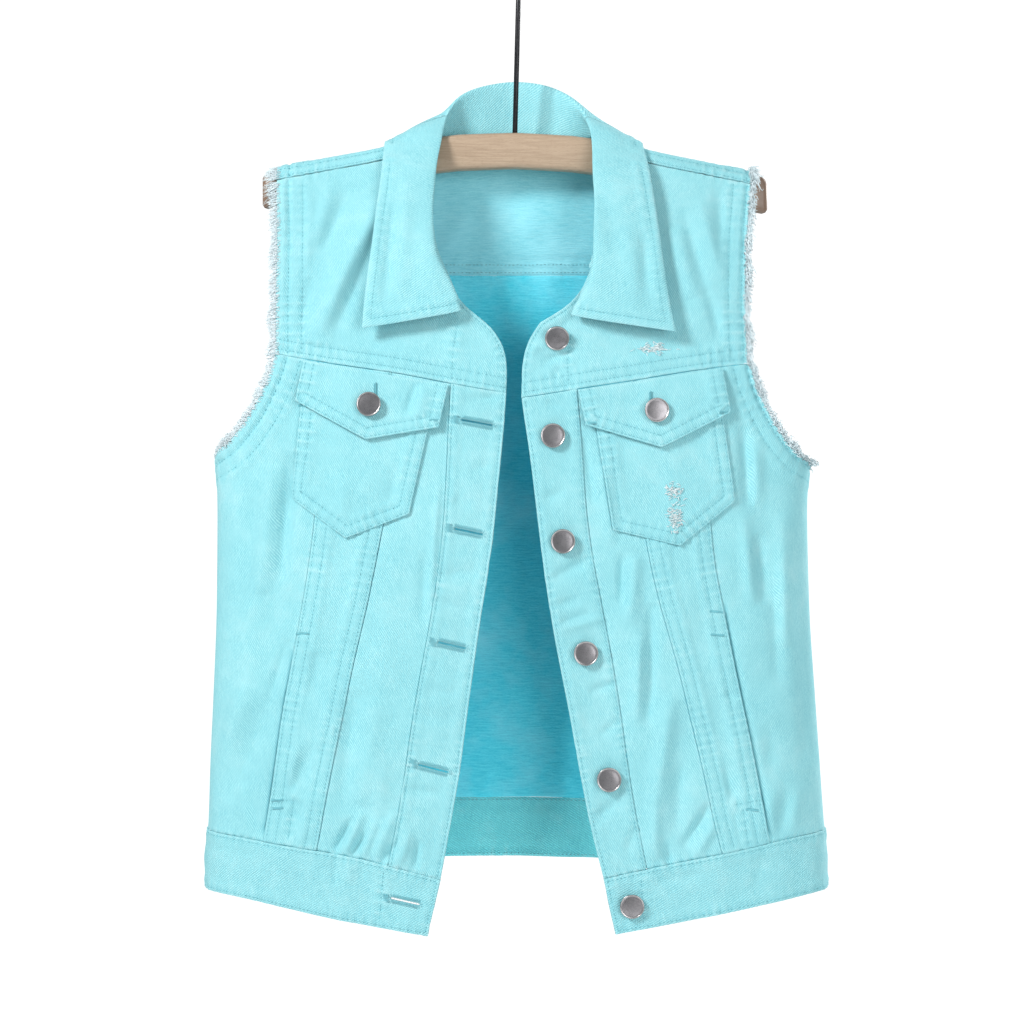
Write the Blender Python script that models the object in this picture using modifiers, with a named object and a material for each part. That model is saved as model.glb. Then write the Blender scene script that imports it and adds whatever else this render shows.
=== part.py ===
"""Sleeveless denim jacket, open at the front, hanging on a wooden hanger with a wire hook.

Sizes are in millimetres and are turned into metres where a mesh is made. X runs to the viewer's
right, +Z is up and the front of the garment faces -Y. The origin is where the hook rests on its rail.
The cloth follows one body surface: at each height a rounded flat section, with a front and a back
depth that grow from the shoulder ridge down. Panels are patches of that surface between seam lines.
"""

import math
import random

import bmesh
import bpy
import numpy as np
from mathutils import Matrix, Vector

MM = 0.001
FRONT = -1.0
BACK = 1.0
LEFT = -1.0
RIGHT = 1.0

# Cloth thicknesses and clearances.
PANEL_WALL = 1.5
POCKET_WALL = 1.2
FLAP_WALL = 1.8
PLACKET_WALL = 2.2
BAND_WALL = 2.6
COLLAR_WALL = 2.2
SEAM_GAP = 0.3
SIDE_SEAM_LIMIT = 0.9975
LAID_GAP = 0.45
PROUD = 0.6

# Where the garment hangs: the hanger's centre lies a little beside the hook's rest point.
HANGER_X = -4.4
SHOULDER_TILT = 0.0095

# Height of the cloth along the top of the shoulders, by distance from the hanger's centre.
SHOULDER_RIDGE = (
    # distance, z
    (0.0, -162.2),
    (53.0, -164.9),
    (68.0, -167.7),
    (97.5, -176.6),
    (139.0, -184.7),
    (178.0, -192.5),
    (240.0, -205.0),
)

# Half width of the body at each height.
SIDE_HALF_WIDTH = (
    # z, left, right
    (-150.0, 226.0, 226.0),
    (-300.0, 226.0, 225.0),
    (-406.0, 224.5, 221.5),
    (-440.0, 223.0, 219.0),
    (-515.0, 223.5, 220.5),
    (-590.0, 226.0, 225.0),
    (-635.0, 228.0, 228.0),
    (-684.0, 229.5, 231.5),
    (-710.0, 232.5, 234.0),
    (-730.0, 231.0, 233.5),
    (-770.0, 230.0, 233.0),
)

# How far the cloth stands from the middle plane, by drop below the shoulder ridge.
BODY_DEPTH = (
    # drop, front, back
    (0.0, 0.0, 0.0),
    (1.0, 4.4, 4.4),
    (4.0, 7.8, 7.8),
    (8.0, 10.0, 10.0),
    (30.0, 16.0, 15.0),
    (75.0, 24.0, 20.0),
    (120.0, 30.0, 24.0),
    (180.0, 36.0, 28.0),
    (300.0, 42.0, 31.0),
    (420.0, 44.0, 31.0),
    (520.0, 42.0, 29.0),
    (610.0, 38.0, 27.0),
)
PROFILE_POWER = 3.0
PROFILE_WIDTH = 224.0
PROFILE_DEPTH = 36.0
SIDE_FADE_DROP = 60.0
GIRTH_LENGTH = 240.0

# The back neckline bows away from the hanger.
NECK_HALF = 70.5
NECK_BACK_DEPTH = 20.0
NECK_BACK_FADE = 60.0
NECK_BACK_DIP = 1.8

# Lines that run down each front, as distances from the hanger's centre.
FRONT_LINES = {
    LEFT: (
        # z, front edge, placket seam, inner seam, outer seam
        (-330.0, 6.3, 46.0, 90.0, 145.0),
        (-360.0, 6.5, 47.3, 91.0, 145.3),
        (-400.0, 9.5, 49.2, 92.0, 145.7),
        (-440.0, 13.4, 51.0, 94.0, 146.2),
        (-480.0, 17.5, 54.2, 101.0, 150.3),
        (-520.0, 24.2, 60.2, 109.0, 156.5),
        (-560.0, 30.0, 67.5, 118.5, 164.0),
        (-600.0, 35.4, 74.6, 126.6, 171.5),
        (-640.0, 40.7, 80.3, 134.9, 177.0),
        (-680.0, 47.7, 86.8, 142.5, 183.3),
        (-720.0, 55.2, 95.5, 150.0, 190.0),
        (-762.0, 65.2, 105.0, 158.0, 197.0),
    ),
    RIGHT: (
        # z, front edge, placket seam, inner seam, outer seam
        (-330.0, 7.2, 44.0, 87.0, 142.0),
        (-360.0, 4.7, 45.5, 87.7, 142.2),
        (-400.0, 10.0, 49.2, 89.5, 142.5),
        (-440.0, 14.9, 51.4, 92.0, 143.0),
        (-480.0, 19.7, 56.4, 98.0, 145.6),
        (-520.0, 25.3, 64.0, 107.3, 153.3),
        (-560.0, 32.6, 71.4, 119.0, 161.0),
        (-600.0, 40.5, 77.7, 128.6, 169.5),
        (-640.0, 47.6, 83.2, 138.5, 177.7),
        (-680.0, 55.5, 90.0, 147.0, 185.2),
        (-720.0, 65.5, 98.5, 157.5, 192.5),
        (-762.0, 74.6, 108.0, 165.0, 199.0),
    ),
}
EDGE, PLACKET_SEAM, INNER_SEAM, OUTER_SEAM = 1, 2, 3, 4

# Lines that run across, by distance from the hanger's centre.
YOKE_SEAM = (
    # distance, left z, right z
    (0.0, -363.0, -366.2),
    (45.0, -355.3, -359.0),
    (90.0, -346.6, -352.0),
    (135.0, -340.0, -344.5),
    (180.0, -331.8, -339.0),
)
FRONT_BAND_TOP = (
    # distance, left z, right z
    (45.0, -721.5, -722.5),
    (65.0, -716.0, -718.2),
    (100.0, -707.0, -710.4),
    (130.0, -700.4, -704.6),
    (165.0, -695.2, -698.1),
    (200.0, -689.5, -690.5),
    (232.0, -685.5, -685.5),
)
FRONT_HEM = (
    # distance, left z, right z
    (45.0, -763.5, -764.5),
    (65.0, -760.3, -760.8),
    (100.0, -754.0, -754.3),
    (130.0, -748.8, -748.8),
    (165.0, -741.0, -742.0),
    (200.0, -734.0, -735.0),
    (235.0, -728.6, -728.6),
)
BACK_BAND_TOP = (
    # distance, left z, right z
    (0.0, -666.0, -666.0),
    (60.0, -666.8, -667.4),
    (120.0, -670.5, -671.5),
    (180.0, -677.5, -678.0),
    (232.0, -685.5, -685.5),
)
BACK_HEM = (
    # distance, left z, right z
    (0.0, -710.5, -710.5),
    (60.0, -711.0, -712.0),
    (120.0, -714.5, -715.5),
    (180.0, -721.0, -721.5),
    (235.0, -728.6, -728.6),
)
BACK_YOKE_SEAM_Z = -269.5
SHOULDER_SEAM_DROP = 10.5
SHOULDER_SEAM_GAP = 0.7

# The armhole's edge on the front and on the back, from the shoulder down to the side seam.
ARMHOLE = {
    LEFT: (
        # z, front distance, back distance
        (-205.0, 177.6, 178.0),
        (-250.0, 176.8, 176.0),
        (-300.0, 177.2, 175.5),
        (-332.0, 176.9, 178.0),
        (-350.0, 182.5, 182.5),
        (-372.0, 193.0, 192.0),
        (-391.0, 206.5, 205.0),
        (-402.0, 217.0, 216.0),
    ),
    RIGHT: (
        # z, front distance, back distance
        (-205.0, 175.6, 176.5),
        (-250.0, 171.8, 173.5),
        (-300.0, 170.2, 172.5),
        (-339.0, 172.0, 175.0),
        (-358.0, 178.5, 180.0),
        (-380.0, 189.0, 190.0),
        (-398.0, 200.5, 201.5),
        (-410.0, 212.5, 212.5),
    ),
}
UNDERARM_Z = {LEFT: -406.5, RIGHT: -415.0}

# The neckline and the rounded top corner of each front, from the shoulder seam down to the yoke seam.
NECKLINE = {
    LEFT: (
        # distance, z
        (74.0, -178.5),
        (74.5, -202.0),
        (71.0, -229.0),
        (63.5, -256.0),
        (51.0, -278.0),
        (39.0, -297.0),
        (25.1, -306.0),
        (12.5, -318.5),
        (6.8, -329.0),
        (5.6, -342.0),
    ),
    RIGHT: (
        # distance, z
        (74.0, -179.5),
        (74.5, -203.0),
        (71.0, -230.0),
        (63.5, -257.0),
        (52.0, -281.0),
        (40.0, -299.0),
        (25.0, -304.0),
        (15.0, -314.0),
        (8.4, -326.0),
        (5.4, -338.5),
    ),
}

# The largest soft folds: ridges where the height is positive and troughs where it is negative.
FRONT_FOLDS = (
    # x, z at the top, x, z at the bottom, half width, height
    (-92.0, -196.0, -140.0, -325.0, 12.0, 2.6),
    (-74.0, -240.0, -112.0, -335.0, 10.0, -1.6),
    (-206.0, -420.0, -204.0, -680.0, 13.0, 2.6),
    (-164.0, -370.0, -186.0, -640.0, 10.0, -2.4),
    (-80.0, -440.0, -108.0, -700.0, 11.0, 2.0),
    (-196.0, -600.0, -222.0, -690.0, 9.0, -2.2),
    (-125.0, -560.0, -150.0, -690.0, 8.0, 1.4),
    (132.0, -200.0, 140.0, -330.0, 12.0, 2.2),
    (158.0, -215.0, 160.0, -325.0, 8.0, -1.4),
    (180.0, -375.0, 192.0, -520.0, 10.0, -2.6),
    (205.0, -430.0, 208.0, -670.0, 13.0, 2.4),
    (80.0, -500.0, 118.0, -690.0, 10.0, 2.2),
    (97.0, -560.0, 108.0, -700.0, 7.0, -1.6),
    (150.0, -580.0, 176.0, -690.0, 9.0, 1.6),
)
BACK_FOLDS = (
    # x, z at the top, x, z at the bottom, half width, height
    (-120.0, -300.0, -135.0, -650.0, 22.0, 3.0),
    (-20.0, -290.0, -35.0, -560.0, 26.0, -2.4),
    (95.0, -310.0, 120.0, -655.0, 22.0, 3.0),
    (175.0, -420.0, 190.0, -660.0, 14.0, -2.2),
    (-185.0, -430.0, -192.0, -660.0, 13.0, -2.2),
)

# The collar, from each front end round to the middle of the back: seam, fold crest and leaf edge.
COLLAR_HALF = {
    LEFT: (
        # seam distance, y, z; fold distance, y, z; leaf edge distance, y, z; bulge of the leaf
        (43.5, -35.5, -298.0, 40.0, -40.5, -301.5, 112.0, -40.5, -314.5, 1.5),
        (47.5, -34.5, -284.0, 43.0, -41.0, -290.0, 110.5, -38.0, -293.0, 1.8),
        (53.5, -32.5, -269.0, 50.0, -40.0, -276.0, 107.0, -34.5, -267.0, 2.0),
        (60.5, -29.5, -252.0, 59.0, -37.5, -261.0, 104.0, -30.5, -243.0, 2.2),
        (66.5, -26.5, -231.0, 60.7, -34.0, -240.0, 101.5, -26.5, -222.0, 2.5),
        (69.8, -22.0, -211.0, 59.8, -29.0, -216.0, 99.0, -22.5, -201.0, 2.8),
        (70.8, -14.5, -190.0, 57.5, -23.5, -194.0, 97.8, -16.5, -188.0, 3.4),
        (69.3, -8.6, -175.0, 55.0, -15.0, -177.0, 97.3, -9.5, -178.5, 4.6),
        (68.2, -4.2, -167.0, 53.0, -8.0, -164.0, 96.5, -2.0, -172.5, 5.2),
        (66.8, 2.4, -165.2, 51.0, -2.0, -154.0, 94.5, 8.0, -173.0, 5.0),
        (62.0, 8.2, -165.6, 45.5, 9.5, -140.0, 87.0, 22.0, -178.0, 4.0),
        (51.0, 13.4, -166.2, 36.0, 18.0, -131.0, 69.0, 30.0, -187.0, 3.0),
        (27.0, 18.2, -167.6, 20.0, 25.5, -124.0, 35.0, 34.5, -193.5, 2.4),
    ),
    RIGHT: (
        # seam distance, y, z; fold distance, y, z; leaf edge distance, y, z; bulge of the leaf
        (44.5, -35.5, -300.5, 41.2, -40.5, -304.5, 118.0, -40.5, -317.0, 1.5),
        (49.5, -34.5, -287.0, 49.0, -41.0, -293.0, 114.0, -38.0, -299.0, 1.8),
        (56.0, -32.5, -270.0, 55.5, -40.0, -279.0, 110.5, -35.0, -277.0, 2.0),
        (61.5, -29.5, -253.0, 57.4, -37.5, -262.0, 108.0, -31.5, -256.0, 2.2),
        (66.5, -26.5, -232.0, 57.8, -34.0, -240.0, 105.0, -27.5, -234.0, 2.5),
        (69.8, -22.0, -212.0, 57.6, -29.0, -216.0, 101.5, -23.5, -209.0, 2.8),
        (70.8, -14.5, -191.0, 57.3, -23.5, -196.0, 98.5, -17.0, -191.0, 3.4),
        (69.3, -8.6, -176.0, 56.8, -15.0, -179.0, 96.0, -9.5, -180.0, 4.6),
        (68.2, -4.2, -168.2, 56.0, -8.0, -166.0, 94.5, -2.0, -174.0, 5.2),
        (66.8, 2.4, -166.4, 54.0, -2.0, -156.0, 93.0, 8.0, -174.5, 5.0),
        (62.0, 8.2, -166.8, 48.0, 9.5, -142.0, 86.0, 22.0, -179.5, 4.0),
        (51.0, 13.4, -167.2, 36.5, 18.0, -131.5, 68.0, 30.0, -187.5, 3.0),
        (27.0, 18.2, -168.2, 20.0, 25.5, -123.5, 35.0, 34.5, -193.5, 2.4),
    ),
}
COLLAR_BACK = (0.0, 19.4, -168.4, 0.0, 28.0, -121.0, 0.0, 36.0, -196.0, 2.0)
COLLAR_STATIONS = 44
FOLD_RADIUS = 3.2
LEAF_SHAPE = (
    # share of the way from the fold to the leaf's edge, share of the bulge
    (0.4, 1.0),
    (0.72, 0.75),
    (1.0, 0.0),
)

# Chest pockets and their flaps, as outlines of distances from the hanger's centre.
POCKETS = {
    LEFT: {
        "top": ((157.0, -367.0), (61.5, -378.0)),
        "foot": ((164.2, -439.0), (124.1, -468.5), (77.8, -450.7)),
    },
    RIGHT: {
        "top": ((58.5, -380.0), (152.0, -372.0)),
        "foot": ((71.8, -462.4), (121.0, -474.0), (161.7, -441.2)),
    },
}
FLAPS = {
    LEFT: {
        "top": ((155.5, -337.9), (49.0, -356.0)),
        "foot": ((161.0, -367.4), (109.5, -396.0), (55.9, -387.0)),
    },
    RIGHT: {
        "top": ((46.5, -360.2), (152.5, -343.3)),
        "foot": ((51.9, -385.5), (107.7, -402.0), (158.0, -376.0)),
    },
}
FLAP_LIFT = (
    # share of the way up the flap, height beyond the pocket's face and its gap
    (0.0, 1.0),
    (0.5, 0.3),
    (0.75, -0.6),
    (1.0, -1.8),
)

# Buttons: distance from the hanger's centre, z and how far the button leans down, in degrees.
PLACKET_BUTTONS = (
    # x, z, lean
    (30.9, -321.0, 21.0),
    (27.8, -393.5, 0.0),
    (35.1, -470.5, 4.0),
    (51.9, -552.5, 2.0),
    (68.8, -644.8, 0.0),
    (85.8, -737.6, 3.0),
)
FLAP_BUTTONS = {LEFT: (-106.7, -370.6), RIGHT: (103.6, -375.0)}
BUTTON_RADIUS = 9.0
BUTTON_SHANK_RADIUS = 3.6
BUTTON_SHANK_HEIGHT = 2.0
BUTTON_CAP_HEIGHT = 2.6
BUTTON_SIDES = 14

# Buttonholes of the left front, by height at their middle.
PLACKET_BUTTONHOLES = (-386.9, -466.8, -550.6, -641.5)
BAND_BUTTONHOLE = (-80.7, -734.5, 21.0)
BUTTONHOLE_HEIGHT = 1.8
BUTTONHOLE_COLUMNS = (0.22, 0.80)

# Frayed armholes: a narrow strip round each hole with threads that stand out from it.
FRINGE_STRIP_WIDTH = 4.5
FRINGE_WALL = 1.0
FRINGE_GAP = 1.5
FRINGE_SEGMENTS = 116
FRINGE_SHORTEST = 2.5
FRINGE_LONGEST = 6.0
FRINGE_TIP_SCALE = 0.35
FRINGE_SAG_BELOW = -228.0
FRINGE_SEED = 7

# The wooden hanger and its wire hook.
HANGER_HALF_LENGTH = 189.0
HANGER_THICKNESS = 12.0
HANGER_HEIGHT = 27.0
HANGER_ROUNDING = 4.0
HANGER_CLEARANCE = 1.3
HOOK_RADIUS = 24.0
HOOK_WIRE_RADIUS = 1.9
HOOK_STEM_DEPTH = 18.0
HOOK_STEM_TOP_Z = -64.0
HOOK_BORE_CLEARANCE = 0.3

COLOURS = {
    # material: red, green, blue, roughness, metallic
    "denim": (0.36, 0.80, 0.86, 0.9, 0.0),
    "denim_fringe": (0.62, 0.88, 0.92, 0.95, 0.0),
    "button_metal": (0.42, 0.38, 0.37, 0.3, 1.0),
    "hanger_wood": (0.62, 0.44, 0.32, 0.5, 0.0),
    "hook_wire": (0.03, 0.03, 0.04, 0.35, 0.8),
}


def smooth(value, keys, values):
    """Interpolates with a cubic that keeps the table's rises and falls."""
    keys = np.asarray(keys, float)
    values = np.asarray(values, float)
    if keys[0] > keys[-1]:
        keys = keys[::-1]
        values = values[::-1]
    value = min(max(value, keys[0]), keys[-1])
    steps = np.diff(keys)
    rates = np.diff(values) / steps
    slopes = np.zeros(len(keys))
    slopes[0] = rates[0]
    slopes[-1] = rates[-1]
    for i in range(1, len(keys) - 1):
        if rates[i - 1] * rates[i] > 0:
            before = 2 * steps[i] + steps[i - 1]
            after = steps[i] + 2 * steps[i - 1]
            slopes[i] = (before + after) / (before / rates[i - 1] + after / rates[i])
    i = min(int(np.searchsorted(keys, value, side="right")) - 1, len(keys) - 2)
    t = (value - keys[i]) / steps[i]
    rest = 1 - t
    start = (1 + 2 * t) * rest * rest * values[i] + t * rest * rest * steps[i] * slopes[i]
    end = t * t * (3 - 2 * t) * values[i + 1] - t * t * rest * steps[i] * slopes[i + 1]
    return float(start + end)


def column(rows, key, value, number):
    """Reads one column of a table at a value of its first column."""
    return smooth(value, [row[key] for row in rows], [row[number] for row in rows])


def side_of(x):
    """The side of the garment that a place lies on."""
    return LEFT if x < 0 else RIGHT


def across(rows, x):
    """Height of a line that runs across the garment."""
    return column(rows, 0, abs(x), 1 if x < 0 else 2)


def down(side, line, z):
    """Signed distance of a line that runs down one front."""
    return side * column(FRONT_LINES[side], 0, z, line)


def ridge_z(x):
    """Height of the shoulder ridge, where the front turns to the back."""
    return column(SHOULDER_RIDGE, 0, abs(x), 1) - SHOULDER_TILT * x


def half_width(side, z):
    """Half width of the body at a height."""
    return column(SIDE_HALF_WIDTH, 0, z, 1 if side < 0 else 2)


def make_profile():
    """Tables of the body's section: share of its girth, of its half width and of its depth."""
    angle = np.linspace(0, math.pi / 2, 400)
    wide = np.sin(angle) ** (2 / PROFILE_POWER)
    deep = np.cos(angle) ** (2 / PROFILE_POWER)
    steps = np.hypot(PROFILE_WIDTH * np.diff(wide), PROFILE_DEPTH * np.diff(deep))
    girth = np.concatenate([[0.0], np.cumsum(steps)])
    return girth / girth[-1], wide, deep


GIRTH, WIDE, DEEP = make_profile()


def girth_share(x, z):
    """Unrolled place of a point: 0 at the middle, -1 and 1 at the side seams."""
    side = side_of(x)
    return side * float(np.interp(abs(x) / half_width(side, z), WIDE, GIRTH))


def fold_height(face, x, z):
    """Sum of the soft folds at a point."""
    total = 0.0
    for x0, z0, x1, z1, half, height in FRONT_FOLDS if face == FRONT else BACK_FOLDS:
        run = (x1 - x0, z1 - z0)
        length = math.hypot(*run)
        along = ((x - x0) * run[0] + (z - z0) * run[1]) / length**2
        if 0 < along < 1:
            away = ((x - x0) * run[1] - (z - z0) * run[0]) / length
            total += height * math.sin(math.pi * along) * math.exp(-((away / half) ** 2))
    return total


def depth(face, x, z, deep):
    """Distance of the cloth's outer face from the middle plane."""
    drop = max(0.0, ridge_z(x) - z)
    roots = [math.sqrt(row[0]) for row in BODY_DEPTH]
    full = smooth(math.sqrt(drop), roots, [row[1 if face == FRONT else 2] for row in BODY_DEPTH])
    if face == BACK and abs(x) < NECK_HALF:
        bow = NECK_BACK_DEPTH * math.sqrt(1 - (x / NECK_HALF) ** 2)
        full = math.hypot(full, bow * math.exp(-drop / NECK_BACK_FADE / 2))
    fade = min(1.0, drop / SIDE_FADE_DROP)
    share = 1 - (1 - deep) * fade
    return full * share + fold_height(face, x, z) * deep


def skin(face, s, z):
    """Point of the body surface at a share of the half girth and a height."""
    side = LEFT if s < 0 else RIGHT
    girth = min(abs(s), 1.0)
    x = side * half_width(side, z) * float(np.interp(girth, GIRTH, WIDE))
    deep = float(np.interp(girth, GIRTH, DEEP))
    return Vector((x, face * depth(face, x, z, deep), z))


def skin_normal(face, s, z):
    """Outward direction of the body surface."""
    step_s = 0.004
    step_z = 1.0
    low = max(s - step_s, -0.999)
    high = min(s + step_s, 0.999)
    along = skin(face, high, z) - skin(face, low, z)
    up = skin(face, s, z + step_z) - skin(face, s, z - step_z)
    return (along.cross(up) * -face).normalized()


def raised(face, s, z, height):
    """Point at a height above the body surface."""
    return skin(face, s, z) + skin_normal(face, s, z) * height


def run_between(points, shares, wide=1.0):
    """Points at the given shares of the length of a line whose first values are scaled by wide."""
    points = np.asarray(points, float)
    steps = np.hypot(*(np.diff(points, axis=0) * (wide, 1.0)).T)
    length = np.concatenate([[0.0], np.cumsum(steps)])
    wanted = np.asarray(shares) * length[-1]
    return np.column_stack([np.interp(wanted, length, points[:, i]) for i in (0, 1)])


def spaced(line, shares):
    """A line with a point at each share of its length."""
    if len(line) == len(shares):
        return np.asarray(line, float)
    return run_between(line, shares, GIRTH_LENGTH)


def joined(first, first_count, second, second_count):
    """Two lines that meet, as one line with a point where they meet."""
    start = run_between(first, even(first_count), GIRTH_LENGTH)
    end = run_between(second, even(second_count), GIRTH_LENGTH)
    return [tuple(point) for point in start] + [tuple(point) for point in end[1:]]


def unroll(points):
    """The points (x, z) of an outline as (girth share, z)."""
    return [(girth_share(x, z), z) for x, z in points]


def span(bottom, top, left, right, shares_u, shares_v):
    """Fills four border lines of (girth share, z) with a grid.

    A line with a point for each share keeps its own points; any other is spaced evenly.
    """
    low = spaced(bottom, shares_u)
    high = spaced(top, shares_u)
    start = spaced(left, shares_v)
    end = spaced(right, shares_v)
    grid = []
    for j, v in enumerate(shares_v):
        row = []
        for i, u in enumerate(shares_u):
            ruled = (1 - v) * low[i] + v * high[i] + (1 - u) * start[j] + u * end[j]
            corners = (1 - u) * (1 - v) * low[0] + u * (1 - v) * low[-1]
            corners = corners + (1 - u) * v * high[0] + u * v * high[-1]
            row.append(ruled - corners)
        grid.append(row)
    return grid


def even(count):
    """Even shares from 0 to 1."""
    return np.linspace(0.0, 1.0, count + 1)


def closed_in(count, start, end):
    """Even shares with one more a short way in from an end, where the cloth turns sharply."""
    shares = [float(v) for v in even(count)]
    if start:
        shares.insert(1, start)
    if end:
        shares.insert(-1, 1.0 - end)
    return shares


def material(name):
    """A material of one of the named finishes."""
    found = bpy.data.materials.get(name)
    if found:
        return found
    red, green, blue, roughness, metallic = COLOURS[name]
    made = bpy.data.materials.new(name)
    made.use_nodes = True
    shader = made.node_tree.nodes["Principled BSDF"]
    shader.inputs["Base Color"].default_value = (red, green, blue, 1)
    shader.inputs["Roughness"].default_value = roughness
    shader.inputs["Metallic"].default_value = metallic
    return made


def add_object(name, mesh, finish):
    """Puts a mesh in the garment's collection as one named node."""
    made = bpy.data.objects.new(name, mesh)
    made.data.materials.append(material(finish))
    GARMENT.objects.link(made)
    return made


def outward(shell):
    """Turns the faces of a closed mesh outwards."""
    bmesh.ops.recalc_face_normals(shell, faces=shell.faces)
    if shell.calc_volume(signed=True) < 0:
        bmesh.ops.reverse_faces(shell, faces=shell.faces)


def add_wall(name, grid, wall, facing, holes=(), finish="denim", offset=-1.0):
    """A cloth wall from a grid of points in millimetres, its outer face on the grid.

    holes are (row, column) cells that stay open, and facing is a direction the outer face looks.
    """
    shell = bmesh.new()
    verts = [[shell.verts.new(point * MM) for point in row] for row in grid]
    for j in range(len(grid) - 1):
        for i in range(len(grid[0]) - 1):
            if (j, i) not in holes:
                shell.faces.new((verts[j][i], verts[j][i + 1], verts[j + 1][i + 1], verts[j + 1][i]))
    bmesh.ops.delete(shell, geom=[v for v in shell.verts if not v.link_faces], context="VERTS")
    shell.normal_update()
    total = sum((face.normal * face.calc_area() for face in shell.faces), Vector())
    if total.dot(Vector(facing)) < 0:
        bmesh.ops.reverse_faces(shell, faces=shell.faces)
    mesh = bpy.data.meshes.new(name)
    shell.to_mesh(mesh)
    shell.free()
    made = add_object(name, mesh, finish)
    thicken = made.modifiers.new("wall", "SOLIDIFY")
    thicken.thickness = wall * MM
    thicken.offset = offset
    mesh.shade_smooth()
    return made


def lay(grid, face, height):
    """Turns a grid of (girth share, z) into points on or above the body surface."""
    return [[raised(face, s, z, height) + Vector((HANGER_X, 0, 0)) for s, z in row] for row in grid]


def crossing(side, line, rows, inset, rise):
    """Where a line down the front meets a line across it, moved by a seam's half gap."""
    z = across(rows, down(side, line, -500.0))
    for _ in range(8):
        z = across(rows, down(side, line, z))
    return down(side, line, z) + inset, z + rise


def vertical(side, line, low, high, inset):
    """Points of a line down the front between two heights."""
    heights = np.linspace(low, high, 24)
    return unroll([(down(side, line, z) + inset, z) for z in heights])


def horizontal(rows, start, end, rise):
    """Points of a line across the garment between two distances."""
    return unroll([(x, across(rows, x) + rise) for x in np.linspace(start, end, 24)])


def front_strip(side, outer, inner, shares_u, shares_v):
    """Grid of a front piece between two lines, from the waistband up to the yoke seam."""
    half = SEAM_GAP / 2
    first, last = (outer, inner) if side == LEFT else (inner, outer)
    low_start = crossing(side, first, FRONT_BAND_TOP, half, half)
    low_end = crossing(side, last, FRONT_BAND_TOP, -half, half)
    high_start = crossing(side, first, YOKE_SEAM, half, -half)
    high_end = crossing(side, last, YOKE_SEAM, -half, -half)
    bottom = horizontal(FRONT_BAND_TOP, low_start[0], low_end[0], half)
    top = horizontal(YOKE_SEAM, high_start[0], high_end[0], -half)
    left = vertical(side, first, low_start[1], high_start[1], half)
    right = vertical(side, last, low_end[1], high_end[1], -half)
    return span(bottom, top, left, right, shares_u, shares_v)


def side_name(side):
    """Ending of a node name on a side."""
    return "left" if side == LEFT else "right"


def add_front_panels():
    """Placket, centre, middle and side panels of both fronts, below the yoke seam."""
    for side in (LEFT, RIGHT):
        tag = side_name(side)
        centre = front_strip(side, INNER_SEAM, PLACKET_SEAM, even(5), even(20))
        add_wall(f"front_centre_{tag}", lay(centre, FRONT, 0), PANEL_WALL, (0, -1, 0))
        middle = front_strip(side, OUTER_SEAM, INNER_SEAM, even(4), even(20))
        add_wall(f"front_middle_{tag}", lay(middle, FRONT, 0), PANEL_WALL, (0, -1, 0))
        add_side_panel(side)
    add_wall("placket_right", lay(right_placket(), FRONT, PROUD), PLACKET_WALL, (0, -1, 0))
    grid, holes = left_placket()
    add_wall("placket_left", lay(grid, FRONT, PROUD), PLACKET_WALL, (0, -1, 0), holes)


def right_placket():
    """The right placket's grid, which carries the buttons."""
    return front_strip(RIGHT, PLACKET_SEAM, EDGE, even(3), even(20))


def left_placket():
    """The left placket's grid, with rows at the edges of each buttonhole, and its open cells."""
    low = crossing(LEFT, EDGE, FRONT_BAND_TOP, 0, 0)[1]
    high = crossing(LEFT, EDGE, YOKE_SEAM, 0, 0)[1]
    half = BUTTONHOLE_HEIGHT / 2
    slots = [((z - half - low) / (high - low), (z + half - low) / (high - low)) for z in PLACKET_BUTTONHOLES]
    shares = [v for v in even(16) if all(abs(v - (a + b) / 2) > 0.02 for a, b in slots)]
    shares = sorted(shares + [v for slot in slots for v in slot])
    first, last = BUTTONHOLE_COLUMNS
    columns = (0.0, first, (first + last) / 2, last, 1.0)
    grid = front_strip(LEFT, PLACKET_SEAM, EDGE, columns, shares)
    holes = {(shares.index(a), i) for a, _ in slots for i in (1, 2)}
    return grid, holes


def armhole_points(side, number):
    """The armhole's edge from below the shoulder to the underarm, as (x, z)."""
    rows = ARMHOLE[side]
    heights = np.linspace(rows[0][0], rows[-1][0], 30)
    points = [(side * column(rows, 0, z, number), z) for z in heights]
    return points + [(side * half_width(side, UNDERARM_Z[side]), UNDERARM_Z[side])]


def smooth_run(points, count):
    """Rounds a line of (girth share, z) points with a spline through evenly spaced ones."""
    key = run_between(points, even(count), GIRTH_LENGTH)
    shares = even(count)
    fine = np.linspace(0, 1, 60)
    return [tuple(smooth(t, shares, key[:, i]) for i in (0, 1)) for t in fine]


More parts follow.
